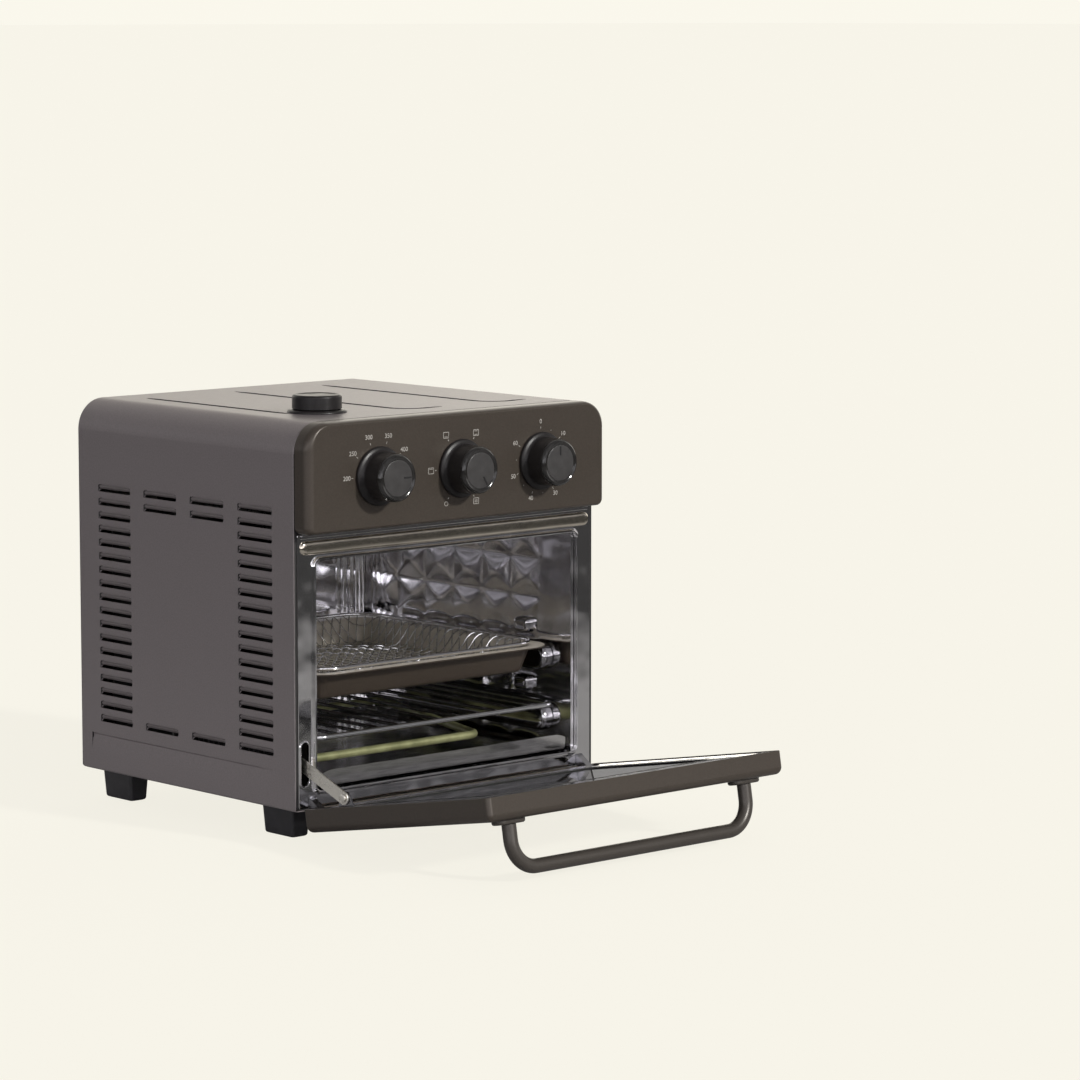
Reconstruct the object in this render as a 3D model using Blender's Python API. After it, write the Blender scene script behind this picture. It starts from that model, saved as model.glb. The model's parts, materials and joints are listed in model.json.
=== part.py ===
"""A countertop convection toaster oven with its door open and its accessories inside.

Metres, +Z up, feet on z = 0, front towards -Y. Sub-parts are drawn about the middle
of the housing, and finish() moves them back by HOUSING_Y, which puts the origin in
the middle of the open oven's footprint.
"""
from math import cos, pi, radians, sin, tan

import bmesh
import bpy
from mathutils import Matrix, Vector

GAP = 0.0003                # clearance between touching pieces

# Housing: a sheet wrapped over the top and both sides
WIDTH = 0.310
DEPTH = 0.275
FRONT_Y = -DEPTH / 2
BACK_Y = DEPTH / 2
BASE_Z = 0.029
TOP_Z = 0.329
SHELL_RADIUS = 0.024
SHELL_SHEET = 0.0008
SHELL_HEM = 0.008
FOOT = Vector((0.020, 0.039, BASE_Z - GAP))
FOOT_X = 0.129              # outer face of a foot
FRONT_FOOT_Y = -0.101       # front face of a front foot
REAR_Y = 0.1465             # rear feet and bumpers stand this far back
HOUSING_Y = 0.10629         # from the middle of the whole box to the middle of the housing

# Louvres pressed into both sides
LOUVRE_COLUMNS = (-0.090, -0.030, 0.030, 0.090)
LOUVRE_LENGTH = 0.0425
LOUVRE_SLIT = 0.0022
LOUVRE_TOP_Z = 0.2575
LOUVRE_PITCH = 0.011
LOUVRE_ROWS = 18
INNER_COLUMN_ROWS = (0, 1, 17)

# Control panel, which stands forward of the door opening
PANEL_Z = 0.2438
PANEL_DEPTH = 0.0166
PANEL_Y = FRONT_Y - PANEL_DEPTH
PANEL_SHEET = 0.0016
KNOB_X = 0.084
KNOB_Z = 0.285
KNOB_RADIUS = 0.01825
KNOB_SKIRT = 0.023
KNOB_LENGTH = 0.0238
SHAFT_RADIUS = 0.003
SHAFT_HOLE = 0.0045
BRACKET_Y = FRONT_Y + 0.001
BRACKET_SHEET = 0.001

# Cavity liner and the frame round its mouth
SHEET = 0.0007
CAVITY_X = 0.133
CAVITY_BACK_Y = 0.122
CAVITY_FLOOR_Z = 0.0435
CAVITY_ROOF_Z = 0.2226
LINER_FRONT_Y = FRONT_Y + 0.0008
MOUTH_X = 0.136
FRAME_X = 0.152
FRAME_FRONT_Y = FRONT_Y - 0.0008
FRAME_BACK_Y = FRONT_Y + 0.0004
LIP = 0.0025
STAY_SLOT = (Vector((-0.1501, 0, 0.0488)), Vector((-0.1425, 0, 0.0826)))

# Rails, the tabs over them that stop a pulled-out rack tipping, and the heaters
RAIL_FRONT_Y = -0.115
RAIL_BACK_Y = 0.117
RAIL_HEIGHT = 0.022
RAIL_REACH = 0.010
RAIL_TOPS = {"upper": 0.129, "lower": 0.079}
TAB_Y = -0.083
TAB_REACH = 0.008
HEATER_RADIUS = 0.00325
HEATER_HOLE = 0.0042
HEATER_FRONT_Y = {"upper": -0.060, "lower": -0.097}
HEATER_BACK_Y = 0.088
HEATER_Z = {"upper": 0.2145, "lower": 0.060}

# Fan above the roof and the water inlet of the steam function
FAN = Vector((0, 0.015, 0))
FAN_HOLE = 0.050
INLET = Vector((-0.083, -0.0785, 0))
INLET_FLANGE = 0.0235
CAP_RADIUS = 0.0195
CAP_TOP_Z = 0.343

# Drop-down door, drawn shut about its pins and then turned open
DOOR_WIDTH = 0.305
DOOR_LENGTH = 0.217
DOOR_THICKNESS = 0.0184
DOOR_SHEET = 0.0009
DOOR_CORNER = 0.004
PIN_RISE = 0.005            # pin to the door's lower edge
PIN_SINK = 0.006            # pin to the door's inner face
PIN = Vector((0, -0.1491, 0.0267))
DOOR_OPEN = 79.8
DOOR_LOW = -PIN_RISE
DOOR_HIGH = DOOR_LENGTH - PIN_RISE
DOOR_INNER_Y = PIN_SINK
DOOR_OUTER_Y = PIN_SINK - DOOR_THICKNESS
WINDOW_X = 0.118
WINDOW_LOW = 0.027
WINDOW_HIGH = 0.173
EAR_X = (0.137, 0.143)
HANDLE_RADIUS = 0.0055
HANDLE_X = 0.122
HANDLE_Z = 0.197
HANDLE_Y = -0.050
HANDLE_BEND = 0.022
HANDLE_PLATE = 0.0033

# Stay arm on the left, between the door and a spring beside the cavity
STAY_PIVOT = Vector((-0.146, 0.0125, 0.0388))
STAY_LENGTH = 0.062
STAY_HALF_WIDTH = 0.00525
STAY_RISE = 20.8
STAY_SHEET = 0.0015
RIVET_HOLE = 0.0023
ANCHOR_Y = 0.020

# Accessories
TRAY_CENTRE_Y = -0.005
TRAY_HALF = Vector((0.1275, 0.123))
RACK_WIRE = 0.00225
RACK_ROD = 0.0014
RACK_RODS = 11
RACK_PITCH = 0.0205
PAN_DEPTH = 0.0217
CRUMB_X = 0.128
CRUMB_Z = 0.0445

# Finishes: colour, roughness, metallic
TAUPE = ((0.098, 0.088, 0.078), 0.42, 0.30)
DARK_TAUPE = ((0.072, 0.062, 0.052), 0.40, 0.20)
CHROME = ((0.80, 0.80, 0.81), 0.10, 1.0)
STEEL = ((0.62, 0.61, 0.60), 0.28, 1.0)
LINER = ((0.50, 0.50, 0.51), 0.16, 1.0)
BLACK_PLASTIC = ((0.010, 0.010, 0.012), 0.45, 0.0)
HEATER_OLIVE = ((0.22, 0.24, 0.11), 0.50, 0.2)
GLASS = ((0.35, 0.34, 0.33), 0.05, 0.0)
PAN_GREIGE = ((0.55, 0.51, 0.45), 0.35, 0.1)
SWITCH_GREY = ((0.30, 0.30, 0.31), 0.50, 0.0)


# Geometry helpers

def round_corners(corners, steps=4, closed=True):
    """Turn each (point, radius) corner of an outline or a route into an arc."""
    points = []
    count = len(corners)
    for index, (corner, radius) in enumerate(corners):
        at_end = not closed and index in (0, count - 1)
        if radius == 0 or at_end:
            points.append(corner.copy())
            continue
        back = (corners[index - 1][0] - corner).normalized()
        ahead = (corners[(index + 1) % count][0] - corner).normalized()
        half = back.angle(ahead) / 2
        centre = corner + (back + ahead).normalized() * (radius / sin(half))
        first = corner + back * (radius / tan(half)) - centre
        last = corner + ahead * (radius / tan(half)) - centre
        sweep = pi - 2 * half
        for step in range(steps + 1):
            angle = sweep * step / steps
            arm = first * sin(sweep - angle) + last * sin(angle)
            points.append(centre + arm / sin(sweep))
    return points


def rounded_box(low, high, radii, steps=4):
    """A rectangle with radii for its corners (low-low, high-low, high-high, low-high)."""
    places = ((low[0], low[1]), (high[0], low[1]), (high[0], high[1]), (low[0], high[1]))
    corners = [(Vector(place), radius) for place, radius in zip(places, radii)]
    return round_corners(corners, steps)


def disc(centre, radius, steps=12):
    """Points of a circle in a plane."""
    turn = 2 * pi / steps
    return [centre + Vector((cos(turn * i), sin(turn * i))) * radius for i in range(steps)]


def lift(points, axis, height):
    """Place plane points at a height along an axis: X takes (y, z), Y (x, z), Z (x, y)."""
    if axis == "X":
        return [Vector((height, a, b)) for a, b in points]
    if axis == "Y":
        return [Vector((a, height, b)) for a, b in points]
    return [Vector((a, b, height)) for a, b in points]


def loft(rings, looped=False):
    """Skin equal rings of points. The ends are capped unless the rings make a loop."""
    mesh = bmesh.new()
    rows = [[mesh.verts.new(point) for point in ring] for ring in rings]
    pairs = list(zip(rows, rows[1:]))
    if looped:
        pairs.append((rows[-1], rows[0]))
    else:
        mesh.faces.new(rows[0])
        mesh.faces.new(rows[-1])
    for row, following in pairs:
        for index in range(len(row)):
            neighbour = (index + 1) % len(row)
            mesh.faces.new((row[index], row[neighbour], following[neighbour], following[index]))
    return solid(mesh)


def solid(mesh):
    """An unnamed object from a closed bmesh, with its faces pointing out."""
    bmesh.ops.recalc_face_normals(mesh, faces=mesh.faces)
    data = bpy.data.meshes.new("solid")
    mesh.to_mesh(data)
    mesh.free()
    made = bpy.data.objects.new("solid", data)
    bpy.context.collection.objects.link(made)
    return made


def prism(outline, axis, start, end):
    """Extrude a plane outline along an axis."""
    return loft([lift(outline, axis, start), lift(outline, axis, end)])


def box(low, high):
    """A plain box between two corners."""
    outline = rounded_box((low[0], low[1]), (high[0], high[1]), (0, 0, 0, 0))
    return prism(outline, "Z", low[2], high[2])


def boxes(corner_pairs):
    """Several boxes that don't touch, as one cutter."""
    mesh = bmesh.new()
    for low, high in corner_pairs:
        size = Vector(high) - Vector(low)
        place = Matrix.Translation((Vector(low) + Vector(high)) / 2)
        bmesh.ops.create_cube(mesh, size=1, matrix=place @ Matrix.Diagonal(size.to_4d()))
    return solid(mesh)


def rod(axis, centre, radius, start, end, steps=12):
    """A cylinder along an axis, its centre given in the plane across it."""
    return prism(disc(Vector(centre), radius, steps), axis, start, end)


def turned(profile, axis, centre, steps=24, looped=False):
    """Turn (radius, height) points about an axis. A ring-shaped profile is looped."""
    rings = []
    for radius, height in profile:
        rings.append(lift(disc(Vector(centre), max(radius, 1e-5), steps), axis, height))
    return loft(rings, looped)


def tube(route, radius, sides=8, closed=False):
    """Sweep a round section along a route of points, without twist."""
    count = len(route)
    tangents = []
    for index, point in enumerate(route):
        last = route[index - 1] if index or closed else point
        following = route[(index + 1) % count] if index < count - 1 or closed else point
        tangents.append((following - last).normalized())
    side = tangents[0].orthogonal().normalized()
    rings = []
    for point, tangent in zip(route, tangents):
        side = (side - tangent * side.dot(tangent)).normalized()
        across = tangent.cross(side)
        ring = []
        for i in range(sides):
            angle = 2 * pi * i / sides
            ring.append(point + (side * cos(angle) + across * sin(angle)) * radius)
        rings.append(ring)
    return loft(rings, closed)


def sheet(path, thickness):
    """Outline of a bent sheet: a path of (point, radius) corners and its left offset."""
    points = [corner for corner, _ in path]
    offset = []
    for index, (point, radius) in enumerate(path):
        back = (point - points[index - 1]).normalized() if index else None
        ahead = (points[index + 1] - point).normalized() if index < len(path) - 1 else None
        back = back or ahead
        ahead = ahead or back
        left = Vector((-back.y - ahead.y, back.x + ahead.x)).normalized()
        reach = thickness / left.dot(Vector((-ahead.y, ahead.x)))
        turns_left = back.x * ahead.y - back.y * ahead.x > 0
        inner = radius - thickness if turns_left else radius + thickness
        offset.append((point + left * reach, max(inner, 0) if radius else 0))
    return round_corners(path, closed=False) + round_corners(offset[::-1], closed=False)


def combine(body, tool, operation):
    """Unite a body with a tool or cut the tool from it, and drop the tool."""
    modifier = body.modifiers.new(operation, "BOOLEAN")
    modifier.operation = operation
    modifier.object = tool
    bpy.context.view_layer.update()
    evaluated = body.evaluated_get(bpy.context.evaluated_depsgraph_get())
    result = bpy.data.meshes.new_from_object(evaluated)
    body.modifiers.clear()
    body.data = result
    bpy.data.objects.remove(tool)
    return body


def cut(body, tool):
    """Cut a tool out of a body."""
    return combine(body, tool, "DIFFERENCE")


def unite(body, tool):
    """Join a tool to a body."""
    return combine(body, tool, "UNION")


def surface(name, finish):
    """A Principled material of one colour, roughness and metallic value."""
    colour, roughness, metallic = finish
    material = bpy.data.materials.new(name)
    material.use_nodes = True
    shader = material.node_tree.nodes["Principled BSDF"]
    shader.inputs["Base Color"].default_value = (*colour, 1)
    shader.inputs["Roughness"].default_value = roughness
    shader.inputs["Metallic"].default_value = metallic
    return material


def finish(body, name, look, pivot=Vector((0, 0, 0))):
    """Name and paint a sub-part drawn in place, with its origin on its pivot."""
    body.name = name
    body.data.name = name
    body.data.transform(Matrix.Translation(-pivot))
    body.location = pivot + Vector((0, HOUSING_Y, 0))
    body.data.materials.clear()
    body.data.materials.append(surface(name, look))
    body.data.shade_smooth()
    body.data.set_sharp_from_angle(angle=radians(35))


def finish_on_door(body, name, look, pivot=Vector((0, 0, 0)), turn=0):
    """Name and paint a piece of the door, drawn shut about the pins, and open it."""
    finish(body, name, look, pivot)
    opening = Matrix.Rotation(radians(DOOR_OPEN), 3, "X")
    body.location = PIN + opening @ pivot + Vector((0, HOUSING_Y, 0))
    body.rotation_euler.x = radians(DOOR_OPEN + turn)


# Housing

def shell_outline(inset):
    """The wrapped sheet from hem to hem, as corners, at an inset from its outside."""
    half = WIDTH / 2 - inset
    low = BASE_Z + inset
    high = TOP_Z - inset
    hem = WIDTH / 2 - SHELL_HEM
    radius = SHELL_RADIUS - inset
    corners = [((hem, low), 0), ((half, low), 0), ((half, high), radius)]
    mirrored = [((-x, z), r) for (x, z), r in corners[::-1]]
    return [(Vector(place), r) for place, r in corners + mirrored]


def louvre_slits(side):
    """Boxes for the slits in one side of the housing."""
    pairs = []
    for column, y in enumerate(LOUVRE_COLUMNS):
        outer_column = column in (0, len(LOUVRE_COLUMNS) - 1)
        rows = range(LOUVRE_ROWS) if outer_column else INNER_COLUMN_ROWS
        for row in rows:
            z = LOUVRE_TOP_Z - row * LOUVRE_PITCH
            low = (side * WIDTH / 2 - 0.004, y - LOUVRE_LENGTH / 2, z - LOUVRE_SLIT / 2)
            high = (side * WIDTH / 2 + 0.004, y + LOUVRE_LENGTH / 2, z + LOUVRE_SLIT / 2)
            pairs.append((low, high))
    return pairs


def build_shell():
    """Outer shell with side louvres and the hole for the water inlet."""
    outer = round_corners(shell_outline(0), 6, closed=False)
    inner = round_corners(shell_outline(SHELL_SHEET), 6, closed=False)
    body = prism(outer + inner[::-1], "Y", FRONT_Y, BACK_Y - SHEET - GAP)
    cut(body, boxes(louvre_slits(-1) + louvre_slits(1)))
    cut(body, rod("Z", INLET.xy, 0.0165, TOP_Z - 0.01, TOP_Z + 0.01, 20))
    finish(body, "outer_shell", TAUPE)


def build_back_panel():
    """Flat back with vents for the fan motor."""
    radii = (0, 0, SHELL_RADIUS, SHELL_RADIUS)
    outline = rounded_box((-WIDTH / 2, BASE_Z), (WIDTH / 2, TOP_Z), radii, 6)
    body = prism(outline, "Y", BACK_Y - SHEET, BACK_Y)
    slots = []
    for side in (-1, 1):
        for row in range(6):
            x = side * 0.045
            z = 0.300 - row * 0.011
            slots.append(((x - 0.028, 0.13, z - 0.0015), (x + 0.028, 0.14, z + 0.0015)))
    cut(body, boxes(slots))
    finish(body, "back_panel", STEEL)


def build_base():
    """Base plate with vents, and four feet; the rear feet keep the oven off a wall."""
    half_x = WIDTH / 2 - SHELL_HEM - GAP
    body = box((-half_x, LINER_FRONT_Y, BASE_Z), (half_x, BACK_Y - SHEET - GAP, BASE_Z + SHEET))
    slots = []
    for x in (-0.06, 0, 0.06):
        for y in (-0.04, 0.04):
            slots.append(((x - 0.02, y - 0.002, 0.02), (x + 0.02, y + 0.002, 0.04)))
    cut(body, boxes(slots))
    finish(body, "base_plate", STEEL)
    for place, y in (("front", FRONT_FOOT_Y), ("rear", REAR_Y - FOOT.y)):
        for side, name in ((-1, "left"), (1, "right")):
            x = min(side * FOOT_X, side * (FOOT_X - FOOT.x))
            outline = rounded_box((x, y), (x + FOOT.x, y + FOOT.y), [0.003] * 4, 2)
            finish(prism(outline, "Z", 0, FOOT.z), f"foot_{place}_{name}", BLACK_PLASTIC)


def build_rear_fittings():
    """Upper wall bumpers and the gland where a power cord would enter."""
    start = BACK_Y + GAP
    for side, name in ((-1, "left"), (1, "right")):
        profile = ((0, start), (0.009, start), (0.009, 0.143), (0.007, REAR_Y), (0, REAR_Y))
        body = turned(profile, "Y", (side * 0.12, 0.30), 16)
        finish(body, f"rear_bumper_{name}", BLACK_PLASTIC)
    ring = ((0.0035, start), (0.011, start), (0.011, 0.140), (0.0065, REAR_Y), (0.0035, REAR_Y))
    finish(turned(ring, "Y", (0.11, 0.065), 16, looped=True), "cord_gland", BLACK_PLASTIC)


# Cavity

def build_front_frame():
    """Bright frame round the mouth, with a lip at its edge and a slot for the stay."""
    outline = rounded_box((-FRAME_X, BASE_Z + 0.0018), (FRAME_X, PANEL_Z - GAP), [0.002] * 4)
    body = prism(outline, "Y", FRAME_FRONT_Y, FRAME_BACK_Y)
    rim_low = (-MOUTH_X - 0.0015, CAVITY_FLOOR_Z - 0.0015)
    rim_high = (MOUTH_X + 0.0015, CAVITY_ROOF_Z + 0.0015)
    rim = rounded_box(rim_low, rim_high, [0.0055] * 4)
    unite(body, prism(rim, "Y", FRAME_FRONT_Y - LIP, FRAME_FRONT_Y + 0.0004))
    mouth = rounded_box((-MOUTH_X, CAVITY_FLOOR_Z), (MOUTH_X, CAVITY_ROOF_Z), [0.004] * 4)
    cut(body, prism(mouth, "Y", FRAME_FRONT_Y - 0.01, FRAME_BACK_Y + 0.01))
    low, high = STAY_SLOT
    slot = rounded_box((low.x, low.z), (high.x, high.z), [0.0035] * 4)
    cut(body, prism(slot, "Y", FRAME_FRONT_Y - 0.01, FRAME_BACK_Y + 0.01))
    finish(body, "front_frame", CHROME)


def stop_tab(side, rail_top):
    """A pressed tab over a rail, which keeps a pulled-out rack level."""
    low = rail_top + 0.0065 if rail_top > 0.1 else rail_top + 0.009
    rings = []
    for inset, reach in ((0, -0.0005), (0, 0.005), (0.002, TAB_REACH)):
        outline = rounded_box((TAB_Y - 0.009 + inset, low + inset),
                              (TAB_Y + 0.009 - inset, low + 0.0125 - inset), [0.003] * 4, 2)
        rings.append(lift(outline, "X", side * (CAVITY_X - reach)))
    return loft(rings)


def build_cavity_walls():
    """Side walls with their stop tabs; the heaters come in through the left one."""
    for side, name in ((-1, "left"), (1, "right")):
        near, far = sorted((side * CAVITY_X, side * (CAVITY_X + SHEET)))
        body = box((near, LINER_FRONT_Y, CAVITY_FLOOR_Z - SHEET),
                   (far, CAVITY_BACK_Y - GAP, CAVITY_ROOF_Z))
        for rail_top in RAIL_TOPS.values():
            unite(body, stop_tab(side, rail_top))
        if side < 0:
            for level, z in HEATER_Z.items():
                for y in (HEATER_FRONT_Y[level], HEATER_BACK_Y):
                    cut(body, rod("X", (y, z), HEATER_HOLE, -0.15, -0.12))
        finish(body, f"cavity_{name}_wall", LINER)


def build_cavity_ends():
    """Floor, rear wall, and roof with the fan opening and the steam port."""
    half = CAVITY_X - GAP
    floor = box((-half, LINER_FRONT_Y, CAVITY_FLOOR_Z - SHEET),
                (half, CAVITY_BACK_Y - GAP, CAVITY_FLOOR_Z))
    finish(floor, "cavity_floor", LINER)
    rear = box((-CAVITY_X - SHEET, CAVITY_BACK_Y, CAVITY_FLOOR_Z - SHEET),
               (CAVITY_X + SHEET, CAVITY_BACK_Y + SHEET, CAVITY_ROOF_Z))
    finish(rear, "cavity_rear_wall", LINER)
    low_z = CAVITY_ROOF_Z + GAP
    roof = box((-CAVITY_X - SHEET, LINER_FRONT_Y, low_z),
               (CAVITY_X + SHEET, CAVITY_BACK_Y + SHEET, low_z + SHEET))
    cut(roof, rod("Z", FAN.xy, FAN_HOLE, low_z - 0.01, low_z + 0.01, 32))
    cut(roof, rod("Z", INLET.xy, 0.0035, low_z - 0.01, low_z + 0.01))
    finish(roof, "cavity_roof", LINER)


def build_rails():
    """Four round-ended ledges, two on each wall; the lower left one clears the heater."""
    for side, side_name in ((-1, "left"), (1, "right")):
        for level, top in RAIL_TOPS.items():
            rings = []
            for inset, reach in ((0, GAP), (0, 0.007), (0.0025, RAIL_REACH)):
                radius = RAIL_HEIGHT / 2 - inset - 0.0002
                outline = rounded_box((RAIL_FRONT_Y + inset, top - RAIL_HEIGHT + inset),
                                      (RAIL_BACK_Y - inset, top - inset), [radius] * 4)
                rings.append(lift(outline, "X", side * (CAVITY_X - reach)))
            body = loft(rings)
            if side < 0 and level == "lower":
                for y in (HEATER_FRONT_Y["lower"], HEATER_BACK_Y):
                    cut(body, rod("X", (y, HEATER_Z["lower"]), HEATER_HOLE, -0.15, -0.11))
            finish(body, f"rail_{level}_{side_name}", LINER)


def build_heaters():
    """Two heater loops in from the left wall, and the clip under the lower bend."""
    for level, z in HEATER_Z.items():
        route = round_corners([(Vector((-0.141, HEATER_FRONT_Y[level], z)), 0),
                               (Vector((0.066, HEATER_FRONT_Y[level], z)), 0.011),
                               (Vector((0.120, HEATER_BACK_Y, z)), 0.011),
                               (Vector((-0.141, HEATER_BACK_Y, z)), 0)], 6, closed=False)
        finish(tube(route, HEATER_RADIUS, 10), f"heater_{level}", HEATER_OLIVE)
    top = HEATER_Z["lower"] - HEATER_RADIUS - GAP
    clip = box((0.100, 0.070, top - 0.0015), (CAVITY_X - GAP, 0.082, top))
    finish(clip, "heater_clip", STEEL)


# Fan, controls and steam fittings

def build_fan():
    """Slotted guard under the roof, blade over it, and motor on a strap."""
    low = CAVITY_ROOF_Z - 0.001
    bottom = [(0.061, low), (0.054, low), (0.048, 0.2145), (0, 0.2145)]
    top = [(radius, z + 0.001) for radius, z in bottom]
    guard = turned(top[::-1] + bottom, "Z", FAN.xy, 24)
    slot_count = 10
    for index in range(slot_count):
        slot = box((0.013, -0.003, 0.21), (0.041, 0.003, 0.22))
        turn = Matrix.Rotation(2 * pi * index / slot_count, 4, "Z")
        slot.data.transform(Matrix.Translation(FAN) @ turn)
        cut(guard, slot)
    finish(guard, "fan_guard", LINER)

    blade = rod("Z", FAN.xy, 0.009, 0.226, 0.241, 16)
    for index in range(6):
        paddle = box((0.005, -0.0006, 0.227), (0.043, 0.0006, 0.239))
        paddle.data.transform(Matrix.Translation(FAN) @ Matrix.Rotation(pi * index / 3, 4, "Z"))
        unite(blade, paddle)
    finish(blade, "fan_blade", STEEL, FAN + Vector((0, 0, 0.2335)))

    foot_z = CAVITY_ROOF_Z + GAP + SHEET + GAP
    strap_path = [(Vector((x, z)), 0) for x, z in
                  ((-0.062, foot_z), (-0.053, foot_z), (-0.053, 0.254), (0.053, 0.254),
                   (0.053, foot_z), (0.062, foot_z))]
    motor = prism(sheet(strap_path, 0.0012), "Y", FAN.y - 0.008, FAN.y + 0.008)
    profile = ((0, 0.2413), (0.003, 0.2413), (0.003, 0.2505), (0.024, 0.2525), (0.026, 0.256),
               (0.026, 0.284), (0.020, 0.288), (0, 0.288))
    unite(motor, turned(profile, "Z", FAN.xy, 24))
    finish(motor, "fan_motor", STEEL)


def panel_ring(inset, y):
    """The control panel's outline at an inset; its upper corners follow the shell."""
    radii = [max(radius - inset, 0.0015) for radius in (0.006, 0.006, 0.022, 0.022)]
    half = WIDTH / 2 - 0.0005 - inset
    outline = rounded_box((-half, PANEL_Z + inset), (half, TOP_Z - inset), radii, 5)
    return lift(outline, "Y", y)


def build_control_panel():
    """A deep tray, open at its back, with a soft front edge and three shaft holes."""
    back = FRAME_FRONT_Y - LIP + 0.0029
    edge = 0.007
    rings = [panel_ring(0, back), panel_ring(0, PANEL_Y + edge)]
    for angle in (30, 60, 90):
        drop = edge * (1 - cos(radians(angle)))
        rings.append(panel_ring(drop, PANEL_Y + edge - edge * sin(radians(angle))))
    hollow = [panel_ring(edge + PANEL_SHEET / 2, PANEL_Y + PANEL_SHEET),
              panel_ring(PANEL_SHEET, PANEL_Y + edge),
              panel_ring(PANEL_SHEET, back)]
    body = loft(hollow + rings)
    for x in (-KNOB_X, 0, KNOB_X):
        cut(body, rod("Y", (x, KNOB_Z), SHAFT_HOLE, PANEL_Y - 0.01, PANEL_Y + 0.01))
    finish(body, "control_panel", DARK_TAUPE)


def build_controls():
    """Bracket behind the panel with the thermostat, function switch and timer on it."""
    bracket = box((-0.140, BRACKET_Y, 0.246), (0.140, BRACKET_Y + BRACKET_SHEET, 0.322))
    for x in (-KNOB_X, 0, KNOB_X):
        cut(bracket, rod("Y", (x, KNOB_Z), SHAFT_HOLE, BRACKET_Y - 0.01, BRACKET_Y + 0.01))
    finish(bracket, "switch_bracket", STEEL)
    start = BRACKET_Y + BRACKET_SHEET + GAP
    thermostat = box((-KNOB_X - 0.018, start, KNOB_Z - 0.02),
                     (-KNOB_X + 0.018, start + 0.022, KNOB_Z + 0.02))
    finish(thermostat, "thermostat", SWITCH_GREY)
    switch = rod("Y", (0, KNOB_Z), 0.019, start, start + 0.024, 24)
    finish(switch, "function_switch", SWITCH_GREY)
    bell = ((0, start), (0.024, start), (0.024, start + 0.02), (0.017, start + 0.024),
            (0.017, start + 0.034), (0, start + 0.034))
    finish(turned(bell, "Y", (KNOB_X, KNOB_Z)), "timer_module", SWITCH_GREY)


def build_knobs():
    """Three knobs with skirts, each on its own shaft; the notch points to the setting."""
    settings = (("temperature", -KNOB_X, 90), ("function", 0, 150), ("timer", KNOB_X, 0))
    profile = ((0, GAP), (KNOB_SKIRT, GAP), (KNOB_SKIRT, 0.0024), (0.0198, 0.0040),
               (KNOB_RADIUS, 0.0056), (KNOB_RADIUS, KNOB_LENGTH - 0.0022),
               (KNOB_RADIUS - 0.0016, KNOB_LENGTH), (KNOB_RADIUS - 0.0030, KNOB_LENGTH),
               (KNOB_RADIUS - 0.0036, KNOB_LENGTH - 0.0006), (0, KNOB_LENGTH - 0.0006))
    for name, x, clock in settings:
        centre = Vector((x, 0, KNOB_Z))
        knob = turned([(radius, PANEL_Y - reach) for radius, reach in profile], "Y", centre.xz, 32)
        notch = box((-0.0008, PANEL_Y - 0.03, 0.006), (0.0008, PANEL_Y - KNOB_LENGTH + 0.0014, 0.0135))
        notch.data.transform(Matrix.Translation(centre) @ Matrix.Rotation(radians(clock), 4, "Y"))
        cut(knob, notch)
        pivot = centre + Vector((0, PANEL_Y, 0))
        finish(knob, f"knob_{name}", DARK_TAUPE, pivot)
        shaft = rod("Y", centre.xz, SHAFT_RADIUS, PANEL_Y, BRACKET_Y + BRACKET_SHEET)
        finish(shaft, f"shaft_{name}", STEEL, pivot)


def build_steam_fittings():
    """Water inlet in the top, its lift-off cap, and the tube down to the roof."""
    seat = TOP_Z + GAP
    inlet = ((0.011, 0.300), (0.016, 0.300), (0.016, seat), (INLET_FLANGE, seat),
             (INLET_FLANGE, seat + 0.001), (INLET_FLANGE - 0.001, seat + 0.002),
             (0.011, seat + 0.002))
    finish(turned(inlet, "Z", INLET.xy, 32, looped=True), "steam_inlet", DARK_TAUPE)
    rest = seat + 0.002 + GAP
    cap = ((0, 0.316), (0.0085, 0.316), (0.010, 0.319), (0.010, rest), (CAP_RADIUS, rest),
           (CAP_RADIUS, CAP_TOP_Z - 0.0015), (CAP_RADIUS - 0.0015, CAP_TOP_Z), (0, CAP_TOP_Z))
    finish(turned(cap, "Z", INLET.xy, 32), "steam_cap", DARK_TAUPE, INLET + Vector((0, 0, rest)))
    low = CAVITY_ROOF_Z + GAP + SHEET + GAP
    funnel = ((0.003, low), (0.0045, low), (0.005, 0.285), (0.013, 0.2997),
              (0.0115, 0.2997), (0.0035, 0.285))
    finish(turned(funnel, "Z", INLET.xy, 16, looped=True), "steam_tube", STEEL)


# Door

def door_ring(inset, y):
    """The door's outline at an inset from its edge."""
    radius = max(DOOR_CORNER - inset, 0.002)
    half = DOOR_WIDTH / 2 - inset
    return lift(rounded_box((-half, DOOR_LOW + inset), (half, DOOR_HIGH - inset), [radius] * 4), "Y", y)


def hinge_notches():
    """Room at the door's lower corners for the hinge ears."""
    pairs = []
    for side in (-1, 1):
        near, far = sorted((side * (EAR_X[0] - 0.003), side * (EAR_X[1] + 0.003)))
        pairs.append(((near, -0.0065, DOOR_LOW - 0.001), (far, DOOR_INNER_Y + 0.001, 0.0165)))
    return boxes(pairs)


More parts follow.
